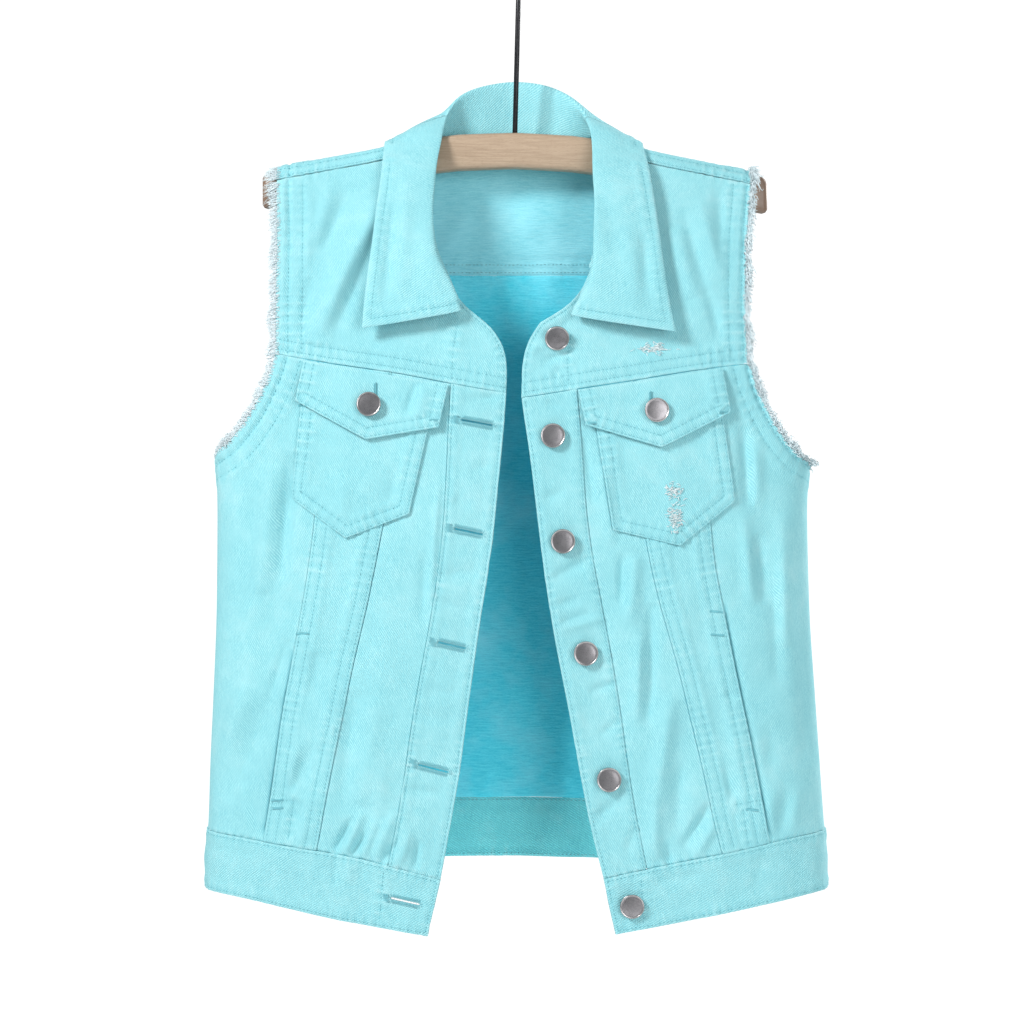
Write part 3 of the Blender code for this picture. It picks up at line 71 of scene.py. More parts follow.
# Soft creases of the fronts and of the back: a ridge where the height is positive.
FRONT_CREASES = (
    # x, z at one end, x, z at the other end, half width, height, all in mm
    # left yoke
    (-103, -215, -155, -326, 9, 3.0),
    (-106, -238, -138, -318, 6, -1.6),
    (-140, -202, -153, -250, 5, 1.5),
    (-128, -208, -147, -258, 5, -1.6),
    (-155, -207, -158, -268, 4, 0.9),
    (-157, -276, -162, -322, 4, -1.2),
    # right yoke
    (120, -222, 138, -290, 5, -1.5),
    (137, -284, 148, -322, 4, -1.1),
    (133, -216, 149, -278, 5, 1.4),
    (146, -208, 150, -246, 4, -1.1),
    (115, -238, 125, -292, 7, 1.4),
    (16, -339, 41, -330, 3, -1.2),
    (6, -331, 30, -319, 4, 1.0),
    (24, -350, 31, -342, 3, -0.8),
    # left side
    (-169, -406, -176, -500, 5, -2.0),
    (-184, -414, -192, -510, 8, 1.6),
    (-199, -440, -203, -520, 7, -0.9),
    (-171, -543, -186, -592, 4, -1.2),
    (-184, -588, -215, -664, 9, -1.4),
    (-202, -576, -226, -636, 8, 1.4),
    (-199, -656, -193, -691, 6, -0.9),
    (-207, -650, -199, -692, 6.5, 0.9),
    # left middle panel
    (-151, -552, -151, -586, 5, -0.9),
    (-152, -620, -164, -652, 6, -0.9),
    (-162, -616, -170, -648, 4, 1.1),
    (-161, -660, -173, -696, 5.5, -1.0),
    (-154, -656, -164, -698, 5.5, 0.9),
    # left centre panel and its gathers above the waistband
    (-121, -580, -131, -668, 7, -1.2),
    (-108, -585, -117, -664, 9, 1.5),
    (-101, -628, -106, -684, 6, 0.9),
    (-123, -674, -137, -699, 3, -2.0),
    (-116, -669, -130, -699, 4, 1.7),
    (-113, -684, -125, -702, 2.5, -1.6),
    (-106, -676, -117, -703, 3.5, 1.6),
    (-89, -690, -102, -706, 3, -1.5),
    (-92, -669, -108, -703, 4, 1.4),
    (-75, -690, -78, -713, 2.5, -1.6),
    (-81, -680, -89, -708, 3.5, 1.4),
    (-136, -700, -137, -724, 3, -0.8),
    (-126, -706, -126, -722, 3, 0.7),
    (-116, -706, -116, -718, 2.5, -0.7),
    # left placket
    (-64, -497, -29, -492, 4, -1.0),
    (-66, -513, -36, -523, 4, -0.9),
    (-71, -579, -47, -583, 3.5, -0.8),
    (-78, -595, -50, -604, 4, -0.8),
    (-86, -652, -58, -656, 3, -0.9),
    (-42, -367, -14, -365, 2.5, -1.3),
    (-49, -439, -36, -445, 4, -0.7),
    (-38, -419, -22, -414, 3, -0.7),
    (-70, -480, -73, -532, 4, -1.0),
    (-60, -425, -67, -520, 3, 0.9),
    # left flap and pocket
    (-77, -354, -84, -379, 3, -1.2),
    (-70, -356, -76, -380, 3.5, 1.0),
    (-92, -416, -95, -450, 5, -0.6),
    (-128, -420, -132, -455, 6, 0.6),
    # right side
    (164, -384, 168, -446, 5, -2.2),
    (175, -466, 180, -518, 5, -1.8),
    (173, -394, 174, -444, 6, 1.4),
    (164, -450, 170, -518, 5, 1.2),
    (193, -450, 195, -548, 7, 1.5),
    (186, -480, 189, -578, 5, -1.0),
    (208, -510, 211, -636, 6, -1.3),
    (182, -604, 187, -656, 6.5, -0.9),
    (189, -628, 182, -686, 7, 1.0),
    (197, -656, 190, -689, 6, -0.9),
    (205, -650, 200, -686, 6.5, 0.8),
    # right centre panel
    (75, -480, 74, -518, 4, -1.9),
    (84, -480, 80, -532, 6, 1.8),
    (96, -516, 93, -606, 5, -2.1),
    (87, -540, 84, -606, 5, 1.4),
    (110, -582, 98, -664, 7, 2.4),
    (117, -634, 114, -686, 6, -1.6),
    (98, -656, 98, -704, 5, 1.7),
    (105, -694, 110, -708, 3, -1.7),
    (84, -680, 78, -699, 4, -1.1),
    (58, -416, 67, -474, 5, 1.4),
    (46, -392, 54, -444, 3, -0.9),
    # right middle panel
    (139, -664, 119, -696, 3.5, -1.9),
    (143, -676, 127, -703, 4, 1.5),
    (149, -635, 157, -662, 4, -1.2),
    (150, -580, 158, -588, 3, -0.7),
    # right placket
    (20, -500, 52, -483, 4, -1.4),
    (24, -518, 44, -513, 3, -1.0),
    (28, -531, 52, -524, 3, -1.0),
    (28, -535, 62, -526, 3, 1.1),
    (50, -581, 70, -575, 3, -1.2),
    (57, -614, 73, -601, 3, -0.9),
    (53, -676, 73, -659, 4, -1.1),
    (15, -441, 33, -433, 4, -0.9),
    (17, -369, 29, -373, 3, -0.9),
    (44, -556, 66, -552, 4, 0.7),
    # waistband
    (98, -720, 132, -716, 5, -0.7),
    (-190, -700, -150, -716, 6, 0.5),
    (178, -700, 172, -728, 5, -0.6),
    (60, -728, 62, -750, 5, 0.5),
)
COLLAR_CREASES = (
    # x, z at one end, x, z at the other end, half width, height, all in mm
    (-94.6, -220, -99.8, -294, 3.5, -0.8),
    (-84, -200, -89, -296, 6, 0.8),
    (-70, -232, -64, -292, 8, 0.6),
    (-104, -212, -109, -300, 3, 0.5),
    (91, -244, 92, -290, 4, -0.7),
    (79, -238, 84, -302, 7, 0.8),
    (60, -205, 71, -266, 7, -0.6),
    (98, -236, 103, -300, 3, 0.5),
)
BACK_CREASES = (
    # x, z at one end, x, z at the other end, half width, height, all in mm
    # yoke
    (-150, -206, -138, -258, 8, 1.1),
    (-124, -208, -112, -262, 6, -0.8),
    (62, -205, 92, -258, 9, 1.1),
    (108, -212, 120, -262, 6, -0.7),
    (-40, -222, -66, -262, 8, -0.8),
    (10, -236, 34, -260, 7, 0.6),
    # below the yoke
    (-92, -282, -118, -500, 13, 1.3),
    (-112, -310, -140, -470, 8, -1.0),
    (34, -280, 58, -520, 14, -1.2),
    (62, -300, 88, -500, 8, 0.9),
    (-20, -284, -26, -420, 12, 0.7),
    (-164, -300, -186, -384, 8, 1.1),
    (150, -296, 174, -392, 8, 1.2),
    (128, -290, 140, -380, 6, -0.8),
    # middle
    (-150, -430, -168, -640, 10, 1.2),
    (-66, -430, -92, -610, 12, 0.9),
    (0, -460, -8, -640, 12, -0.9),
    (100, -450, 120, -650, 12, 1.2),
    (150, -450, 168, -600, 8, -1.0),
    (190, -440, 202, -650, 7, 1.1),
    (-206, -450, -213, -640, 7, -1.1),
    # gathers above the band
    (-178, -630, -174, -665, 5, -1.0),
    (-156, -612, -150, -665, 7, 1.1),
    (-128, -642, -131, -666, 4, -0.8),
    (-104, -618, -108, -666, 6, 0.9),
    (-84, -648, -83, -666, 4, -0.7),
    (-52, -606, -58, -665, 8, 1.0),
    (-26, -640, -27, -665, 4, -0.7),
    (18, -622, 14, -665, 6, 0.9),
    (40, -646, 42, -665, 4, -0.8),
    (70, -600, 77, -665, 8, -1.0),
    (96, -640, 98, -666, 4, 0.7),
    (122, -620, 118, -666, 6, -0.9),
    (154, -606, 160, -665, 7, 1.0),
    (182, -640, 178, -665, 5, -0.8),
)

# Rows along the armholes, in mm from the raw edge.
LEFT_ARMHOLE = (9.0, 19.5)
RIGHT_ARMHOLE = (2.6, 13.0)
ARMHOLES = {"left": LEFT_ARMHOLE, "right": RIGHT_ARMHOLE}

# Rows of topstitching: along the edge of a piece between two of its corners, at distances in from the edge.
STITCHED_EDGES = (
    # piece, first corner (x, y, z), last corner (x, y, z), distances in from the edge, all in mm
    ("front_yoke_left", (-181, -25, -332), (-11, -36, -362), (4.0, 11.0)),
    ("front_yoke_right", (168, -25, -339), (2, -36, -366), (4.0, 11.0)),
    ("front_yoke_left", (-11, -36, -362), (-78, -11, -179), (2.2,)),
    ("front_yoke_right", (2, -36, -366), (70, -11, -179), (2.2,)),
    ("front_yoke_left", (-181, -25, -332), (-182, -11, -203), LEFT_ARMHOLE),
    ("front_yoke_right", (168, -25, -339), (171, -11, -203), RIGHT_ARMHOLE),
    ("front_side_left", (-181, -25, -333), (-229, 0, -406), LEFT_ARMHOLE),
    ("front_side_right", (168, -25, -340), (217, 0, -415), RIGHT_ARMHOLE),
    ("back_yoke", (-182, -11, -203), (-75, -11, -178), (1.5, 8.0)),
    ("back_yoke", (171, -11, -203), (66, -11, -178), (1.5, 8.0)),
    ("back_yoke", (-182, -11, -203), (-181, 18, -269), LEFT_ARMHOLE),
    ("back_yoke", (171, -11, -203), (169, 18, -269), RIGHT_ARMHOLE),
    ("back_yoke", (-181, 18, -269), (169, 18, -269), (1.8, 8.0)),
    ("back_panel", (-181, 18, -270), (-229, 0, -406), LEFT_ARMHOLE),
    ("back_panel", (169, 18, -270), (217, 0, -415), RIGHT_ARMHOLE),
    ("front_middle_left", (-149, -33, -339), (-189, -28, -691), (2.0, 9.0)),
    ("front_middle_left", (-94, -35, -347), (-149, -35, -698), (2.0, 9.0)),
    ("front_middle_right", (138, -33, -345), (183, -28, -694), (2.0, 9.0)),
    ("front_middle_right", (83, -35, -353), (145, -35, -701), (2.0, 9.0)),
    ("placket_left", (-11, -37, -363), (-59, -43, -719), (2.2,)),
    ("placket_left", (-51, -36, -355), (-98, -40, -710), (1.8,)),
    ("placket_right", (2, -37, -367), (61, -43, -719), (2.2,)),
    ("placket_right", (40, -36, -360), (90, -40, -712), (1.8,)),
    ("pocket_left", (-161, -33, -367), (-66, -37, -378), (1.5, 8.0)),
    ("pocket_right", (54, -37, -380), (148, -34, -372), (1.5, 8.0)),
    ("pocket_flap_left", (-160, -32, -338), (-53, -36, -356), (1.5, 8.0)),
    ("pocket_flap_right", (42, -36, -360), (148, -32, -343), (1.5, 8.0)),
)

# Rows sewn on a piece away from its edges, drawn on the front.
STITCHED_LINES = (
    # piece, points (x, z) in mm
    ("front_yoke_left", ((-51, -352), (-50, -330), (-47, -312))),
    ("front_yoke_right", ((35, -356), (34, -336), (37, -318))),
    ("front_middle_left", ((-182, -664), (-167, -660), (-171, -690))),
    ("front_middle_right", ((157, -664), (176, -661))),
    ("front_middle_right", ((163, -667), (167, -694))),
    ("waistband", ((88, -719), (90, -752))),
    ("waistband", ((-101, -713), (-104, -750))),
)

# Short dense bars that lock the ends of the pocket openings, in mm.
BAR_TACKS = (
    # x, z, length, lean in degrees
    (-160, -538.5, 10, 6),
    (-179, -661, 9, 4),
    (-178.6, -667, 8, 4),
    (143.7, -522.6, 10, -6),
    (144.4, -539.5, 10, -6),
    (170, -668, 9, -6),
    (-161, -371, 6, 0),
    (-64, -382, 6, 0),
    (52, -384, 6, 0),
    (149, -376, 6, 0),
)
FLAP_BUTTONHOLES = (
    # flap, x, z at the top, z at the foot, in mm
    ("pocket_flap_left", -106.5, -354.5, -367.0),
    ("pocket_flap_right", 95.5, -361.0, -372.0),
)
TEARS = (
    # piece, x, z, width, height, threads
    ("front_yoke_right", 97, -329, 21, 8, 90),
    ("pocket_right", 112, -434, 11, 13, 70),
    ("pocket_right", 113, -454, 12, 20, 100),
)
# Sheets whose rows go round every side but the top, sheets whose rows draw in no other sheet, and sheets
# that are drawn in by their own rows alone.
OPEN_TOPPED = ("pocket_left", "pocket_right", "pocket_flap_left", "pocket_flap_right")
LOOSE = ("collar", "pocket_flap_left", "pocket_flap_right")
LAID_ON = OPEN_TOPPED + ("collar",)
# The open seams that a hand goes in at: ends of the panel's edge, and how far down they are open, in mm.
POCKET_MOUTHS = {
    "front_side_left": ((-149, -33, -339), (-189, -28, -691), -690, -546),
    "front_side_right": ((138, -33, -345), (183, -28, -694), -692, -512),
}
LEFT_SIDE_SEAM = ((-229, 0, -406), (-234, 0, -706))
RIGHT_SIDE_SEAM = ((217, 0, -415), (228, 0, -710))
SIDE_SEAMS = {
    "front_side_left": (LEFT_SIDE_SEAM,),
    "front_side_right": (RIGHT_SIDE_SEAM,),
    "back_panel": (LEFT_SIDE_SEAM, RIGHT_SIDE_SEAM),
}

# How finely a sheet is divided, and how its outer face is told from its wall in the CAD node.
LEVELS = 3
WELD = 2e-6
RIM_BEND = math.radians(50)
QUAD_BEND = math.radians(60)
CORNER_BEND = math.radians(158)
FRONT_OF_COLLAR = -0.024

# Every height of a crease is multiplied by this.
CREASE_DEPTH = 2.0
# Moves at edges, in mm: a folded edge stands up, an open slanted pocket sinks and slides under its
# neighbour, and the two edges of a side seam are drawn together.
LAP_RISE = 0.7
MOUTH_SINK = 1.7
TUCK = 3.2
SEAM_CLOSE = 0.55
# Rows of stitches, in mm: how far in from the edge of the waistband and of the collar, how far from the
# neck seam, a stitch with its gap, the gap alone, and a jump that ends a row.
BAND_ROW = 2.0
COLLAR_ROW = 6.0
NECK_CLEAR = 9.5
STITCH_LONG = 2.5
STITCH_GAP = 0.6
ROW_BREAK = 2.2
# Radius of the sewing thread, how far its middle stands up and how far its ends sink, in mm.
SEWING_THREAD = (0.32, 0.14, 0.14)
# Buttonholes: how dense their stitches lie, how long they are at the sides and in the bar, and how thick.
SATIN_STEP = 0.78
SIDE_REACH = 3.3
BAR_REACH = 4.4
SATIN_RADIUS = 0.26
# How much painted shade darkens the cloth in the slit of a slanted pocket.
MOUTH_SHADE = 3.6

DENIM = {
    # finish: angle of the twill in degrees, its pitch in mm, lightness, share of red where it is lower
    "denim_body": (-32.0, 1.4, 1.0),
    "denim_placket": (-30.0, 1.4, 0.98),
    "denim_band": (58.0, 1.55, 0.97),
    # The inside of the band is a lighter, bluer copy of the band's twill: painted light at the bottom of the
    # hollow.
    "denim_band_inside_painted_light": (-58.0, 1.55, 1.08, 0.55),
    "denim_collar": (54.0, 1.45, 1.0),
}
INSIDES = {
    # sheets whose inner face has a finish of its own, in colours that paint the shade and the light inside
    # the garment
    "waistband": "denim_band_inside_painted_light",
    "back_panel": "inside",
    "back_yoke": "inside_painted_light",
    "front_side_left": "inside",
    "front_side_right": "inside",
}


def choose(piece):
    """Makes one object the only selected and the active one."""
    bpy.ops.object.select_all(action="DESELECT")
    piece.select_set(True)
    bpy.context.view_layer.objects.active = piece


def apply_all(piece):
    """Applies a piece's modifiers in their order."""
    choose(piece)
    for modifier in list(piece.modifiers):
        bpy.ops.object.modifier_apply(modifier=modifier.name)


def edit_whole(piece, operator, **settings):
    """Runs one mesh operator on all of a piece."""
    choose(piece)
    bpy.ops.object.mode_set(mode="EDIT")
    bpy.ops.mesh.select_all(action="SELECT")
    operator(**settings)
    bpy.ops.object.mode_set(mode="OBJECT")


def add_bevel(piece, name, width, segments, degrees):
    """Rounds the edges of a piece that bend by more than an angle, by a width in mm."""
    bevel = piece.modifiers.new(name, "BEVEL")
    bevel.width = width * MM
    bevel.segments = segments
    bevel.limit_method = "ANGLE"
    bevel.angle_limit = math.radians(degrees)


def new_piece(name, data):
    """A new object in the scene, at the origin."""
    piece = bpy.data.objects.new(name, data)
    bpy.context.scene.collection.objects.link(piece)
    return piece


def vertex_rows(mesh, kind):
    """The places or the directions of a mesh's vertices, one a row."""
    flat = np.empty(len(mesh.vertices) * 3, np.float32)
    mesh.vertices.foreach_get(kind, flat)
    return flat.reshape(-1, 3).astype(float)


def put_coordinates(mesh, points):
    """Moves a mesh's vertices to points."""
    mesh.vertices.foreach_set("co", np.ascontiguousarray(points, np.float32).ravel())
    mesh.update()


def tree_of(points):
    """A search tree of points, numbered in their order."""
    tree = KDTree(len(points))
    for number, place in enumerate(points):
        tree.insert(place, number)
    tree.balance()
    return tree


# Cloth


def facing_front(faces):
    """How much of a set of faces looks forward, counted where the collar lies on the fronts."""
    total = 0.0
    for face in faces:
        face.normal_update()
        if face.calc_center_median().y < FRONT_OF_COLLAR:
            total -= face.normal.y * face.calc_area()
    return total


def outer_face(node, wall):
    """The outer face of a cloth node as an open sheet of quads."""
    shell = bmesh.new()
    shell.from_mesh(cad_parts[node].data)
    bmesh.ops.remove_doubles(shell, verts=shell.verts, dist=WELD)
    thin = {face for face in shell.faces if min(e.calc_length() for e in face.edges) < wall * MM * 1.3}
    rim = set()
    for edge in shell.edges:
        if edge.calc_face_angle(0) > RIM_BEND and any(face in thin for face in edge.link_faces):
            rim.add(edge)
    unseen = set(shell.faces)
    regions = []
    while unseen:
        region = [unseen.pop()]
        for face in region:
            for edge in face.edges:
                if edge not in rim:
                    for other in edge.link_faces:
                        if other in unseen:
                            unseen.discard(other)
                            region.append(other)
        regions.append(region)
    regions.sort(key=lambda faces: -sum(face.calc_area() for face in faces))
    if node == "collar":
        outer = max(regions[:2], key=facing_front)
    else:
        outer = max(regions[:2], key=lambda faces: np.mean([abs(f.calc_center_median().y) for f in faces]))
    kept = set(outer)
    bmesh.ops.delete(shell, geom=[face for face in shell.faces if face not in kept], context="FACES")
    bmesh.ops.join_triangles(
        shell, faces=shell.faces, angle_face_threshold=QUAD_BEND, angle_shape_threshold=QUAD_BEND
    )
    keep = shell.verts.layers.float.new("crease_vert")
    for vert in shell.verts:
        rims = [edge for edge in vert.link_edges if edge.is_boundary]
        if len(rims) == 2:
            a, b = (edge.other_vert(vert).co - vert.co for edge in rims)
            if a.angle(b) < CORNER_BEND:
                vert[keep] = 1.0
    mesh = bpy.data.meshes.new(node)
    shell.to_mesh(mesh)
    shell.free()
    return mesh


def soft_step(value, low, high):
    """Rises smoothly from 0 at the low value to 1 at the high one."""
    share = np.clip((value - low) / (high - low), 0, 1)
    return share * share * (3 - 2 * share)


def folds(points, creases):
    """Height of a table of creases at points in millimetres."""
    x = points[:, 0]
    z = points[:, 2]
    total = np.zeros(len(points))
    for x0, z0, x1, z1, half, height in creases:
        run_x = x1 - x0
        run_z = z1 - z0
        length = math.hypot(run_x, run_z)
        along = ((x - x0) * run_x + (z - z0) * run_z) / length**2
        away = ((x - x0) * run_z - (z - z0) * run_x) / length
        swell = np.sqrt(np.sin(np.pi * np.clip(along, 0, 1))) * np.exp(-((away / half) ** 2))
        total += CREASE_DEPTH * height * swell
    return total


def relief(points, creases):
    """Height of the creases and of a slow unevenness at points in millimetres."""
    x = points[:, 0]
    z = points[:, 2]
    total = 0.7 * np.sin(x / 17 + z / 43) * np.sin(z / 31 - x / 59)
    total += 0.55 * np.sin(x / 9.5 - z / 27 + 1.3) * np.sin(z / 19 + x / 33)
    total += 0.30 * np.sin(x / 5.3 + z / 21 + 0.4) * np.sin(z / 12 - x / 15)
    return total + folds(points, creases)


def crease(mesh, node):
    """Moves a sheet's points by the creases of its side of the garment."""
    points = vertex_rows(mesh, "co") / MM
    if node == "collar":
        out = vertex_rows(mesh, "normal")
        height = 0.5 * np.sin(points[:, 0] / 11 + points[:, 2] / 17) * np.sin(points[:, 2] / 13)
        height += folds(points, COLLAR_CREASES) * (points[:, 1] < -18)
        points += out * height[:, None]
    else:
        front = points[:, 1] < 0
        weight = np.clip(np.abs(points[:, 1]) / 18 - 0.3, 0, 1)
        height = np.where(front, -relief(points, FRONT_CREASES), relief(points, BACK_CREASES))
        points[:, 1] += height * weight
    put_coordinates(mesh, points * MM)


def border_loops(mesh):
    """Ordered rings of point numbers round a sheet and its holes, the longest first."""
    shell = bmesh.new()
    shell.from_mesh(mesh)
    shell.verts.ensure_lookup_table()
    beside = {}
    for edge in shell.edges:
        if edge.is_boundary:
            a, b = (vert.index for vert in edge.verts)
            beside.setdefault(a, []).append(b)
            beside.setdefault(b, []).append(a)
    shell.free()
    loops = []
    while beside:
        ring = [next(iter(beside))]
        while True:
            ahead = [n for n in beside[ring[-1]] if n in beside and (len(ring) < 2 or n != ring[-2])]
            following = next((n for n in ahead if n not in ring[-3:]), None)
            if following is None or following == ring[0]:
                break
            ring.append(following)
            if len(ring) > len(beside) + 1:
                break
        for number in ring:
            beside.pop(number, None)
        loops.append(ring)
    return sorted(loops, key=len, reverse=True)


class Sheet:
    """A dressed cloth piece while it is worked on."""

    def __init__(self, node):
        self.node = node
        self.wall, self.wide, self.long, self.area, self.finish = SHEETS[node]
        self.piece = new_piece("cloth_" + node, outer_face(node, self.wall))
        divide = self.piece.modifiers.new("divide", "SUBSURF")
        divide.levels = LEVELS
        divide.render_levels = LEVELS
        divide.boundary_smooth = "PRESERVE_CORNERS"
        apply_all(self.piece)
        crease(self.piece.data, node)
        self.refresh()
        self.loops = border_loops(self.piece.data)

    def refresh(self):
        """Takes note of the sheet's shape as it is now."""
        mesh = self.piece.data
        self.points = vertex_rows(mesh, "co")
        self.normals = vertex_rows(mesh, "normal")
        faces = [tuple(face.vertices) for face in mesh.polygons]
        self.tree = BVHTree.FromPolygons([tuple(p) for p in self.points], faces)

    def snap(self, place):
        """The nearest place on the sheet and the outward direction there."""
        spot, normal, _, _ = self.tree.find_nearest(Vector(place))
        return spot, normal

    def from_front(self, x, z):
        """Where a look from the front at x and z in metres meets the sheet, and the direction there."""
        spot, normal, _, _ = self.tree.ray_cast(Vector((x, -0.2, z)), Vector((0, 1, 0)))
        return spot, normal

    def distances(self, tree):
        """Distance in mm of each point from the nearest one of a search tree."""
        return np.array([tree.find(place)[2] for place in self.points]) / MM

    def corner(self, place):
        """Position on the outer border of its corner nearest to a place in millimetres."""
        ring = self.loops[0]
        target = np.array(place) * MM
        spots = self.points[ring]
        back = spots - np.roll(spots, 2, axis=0)
        ahead = np.roll(spots, -2, axis=0) - spots
        turn = np.einsum("ij,ij->i", back, ahead)
        turn /= np.linalg.norm(back, axis=1) * np.linalg.norm(ahead, axis=1) + 1e-12
        distance = np.linalg.norm(spots - target, axis=1)
        distance = np.where(turn < math.cos(math.radians(25)), distance, distance + 0.02)
        return int(np.argmin(distance))

    def run(self, first, last):
        """Points a millimetre apart along the border between two corners.

        It goes the shorter way round, but the longer one on pockets and flaps, to leave out their top.
        """
        ring = self.loops[0]
        a = self.corner(first)
        b = self.corner(last)
        count = len(ring)
        forward = [ring[(a + k) % count] for k in range((b - a) % count + 1)]
        backward = [ring[(a - k) % count] for k in range((a - b) % count + 1)]
        ways = [self.points[way] for way in (forward, backward)]
        lengths = [np.linalg.norm(np.diff(way, axis=0), axis=1).sum() for way in ways]
        pick = np.argmax if self.node in OPEN_TOPPED else np.argmin
        return evenly(ways[int(pick(lengths))], MM)

    def inward(self, path):
        """Directions along the sheet, away from the border, at the points of a path on it."""
        along = np.gradient(path, axis=0)
        ways = []
        for place, way in zip(path, along):
            _, normal = self.snap(place)
            ways.append(np.cross(normal, way / (np.linalg.norm(way) + 1e-12)))
        ways = np.array(ways)
        near = 0.0
        far = 0.0
        for place, way in zip(path[::9], ways[::9]):
            near += self.tree.find_nearest(Vector(place + way * 3 * MM))[3]
            far += self.tree.find_nearest(Vector(place - way * 3 * MM))[3]
        return ways if near < far else -ways



def evenly(path, step):
    """Points a step apart along a path."""
    length = np.concatenate([[0.0], np.cumsum(np.linalg.norm(np.diff(path, axis=0), axis=1))])
    wanted = np.arange(0, length[-1], step)
    return np.column_stack([np.interp(wanted, length, path[:, i]) for i in range(3)])


def closed_path(sheet, number=0):
    """Points a millimetre apart all round one of a sheet's borders."""
    spots = sheet.points[sheet.loops[number]]
    return evenly(np.vstack([spots, spots[:1]]), MM)


def row_beside(sheet, path, ways, distance):
    """A sewn row on a sheet at a distance from a path, cut where it would come too near to it."""
    tree = tree_of(path)
    row = []
    for number, (place, way) in enumerate(zip(path, ways)):
        spot, normal = sheet.snap(place + way * distance * MM)
        if tree.find(spot)[2] >= distance * MM * 0.9:
            row.append((spot, normal, number * MM))
    return row


def row_all_round(sheet, distance):
    """A sewn row all round a sheet."""
    path = closed_path(sheet)
    return row_beside(sheet, path, sheet.inward(path), distance)


def row_along(sheet, line):
    """A sewn row on a sheet under a line that is drawn on the front."""
    row = []
    for number, place in enumerate(evenly(np.array([(x * MM, 0.0, z * MM) for x, z in line]), MM)):
        spot, normal = sheet.from_front(place[0], place[2])
        if spot:
            row.append((spot, normal, number * MM))
    return row


def clear_of_neck(row):
    """The part of a row on the collar that keeps away from its seam with the yokes."""
    yokes = [sheets[node] for node in ("back_yoke", "front_yoke_left", "front_yoke_right")]
    seam = tree_of([yoke.points[number] for yoke in yokes for number in yoke.loops[0]])
    return [entry for entry in row if seam.find(entry[0])[2] > NECK_CLEAR * MM]


sheets = {node: Sheet(node) for node in SHEETS}
rows = []
for node, first, last, distances in STITCHED_EDGES:
    sheet = sheets[node]
    path = sheet.run(first, last)
    ways = sheet.inward(path)
    for distance in distances:
        rows.append((sheet, row_beside(sheet, path, ways, distance)))
band = sheets["waistband"]
rows.append((band, row_all_round(band, BAND_ROW)))
collar = sheets["collar"]
rows.append((collar, clear_of_neck(row_all_round(collar, COLLAR_ROW))))
for node, line in STITCHED_LINES:
    rows.append((sheets[node], row_along(sheets[node], line)))


# Puckers along the rows


def gather_rows(chosen):
    """A search tree of the points of some rows, and their places along their rows."""
    found = [(spot, along) for _, row in chosen for spot, _, along in row]
    return tree_of([spot for spot, _ in found]), np.array([along for _, along in found]) / MM


def near_edge(sheet, first, last, distance=0.0):
    """Distance in mm of each point of a sheet from a line beside its edge between two corners."""
    path = sheet.run(first, last)
    if distance:
        path = path + sheet.inward(path) * (distance * MM)
    return sheet.distances(tree_of(path))


def mouth_reach(sheet):
    """How open the slanted pocket is at the height of each point, from 0 to 1."""
    low, high = POCKET_MOUTHS[sheet.node][2:]
    z = sheet.points[:, 2] / MM
    return soft_step(z, low, low + 14) * (1 - soft_step(z, high - 20, high))


def slid_out(sheet, first, last, far):
    """Move of the points near one edge, along the cloth and past that edge, by so many mm at it."""
    path = sheet.run(first, last)
    outward = -sheet.inward(path)
    tree = tree_of(path)
    found = [tree.find(place) for place in sheet.points]
    near = 1 - soft_step(np.array([distance for _, _, distance in found]) / MM, 0.3, 5.0)
    return outward[[number for _, number, _ in found]] * (far * near * MM)[:, None]


def lapped(sheet):
    """How far the folded edges of a piece stand above its neighbours, in mm."""
    own = [spot for owner, row in rows if owner is sheet for spot, _, _ in row]
    if not own:
        return 0.0
    rise = LAP_RISE * (1 - soft_step(sheet.distances(tree_of(own)), 3, 9))
    if sheet.node in POCKET_MOUTHS:
        away = near_edge(sheet, *POCKET_MOUTHS[sheet.node][:2])
        rise -= MOUTH_SINK * (1 - soft_step(away, 0.5, 5.5)) * mouth_reach(sheet)
    for node, first, last, distances in STITCHED_EDGES:
        if node == sheet.node and distances in ARMHOLES.values():
            away = near_edge(sheet, first, last, distances[0])
            rise = rise - 0.9 * np.exp(-((away / 1.6) ** 2)) + 0.35 * np.exp(-(((away - 4.5) / 3.0) ** 2))
    if sheet.node.startswith("front_middle"):
        rise = 1.5 * rise * (1 - soft_step(sheet.points[:, 2] / MM, -462, -445))
    return rise


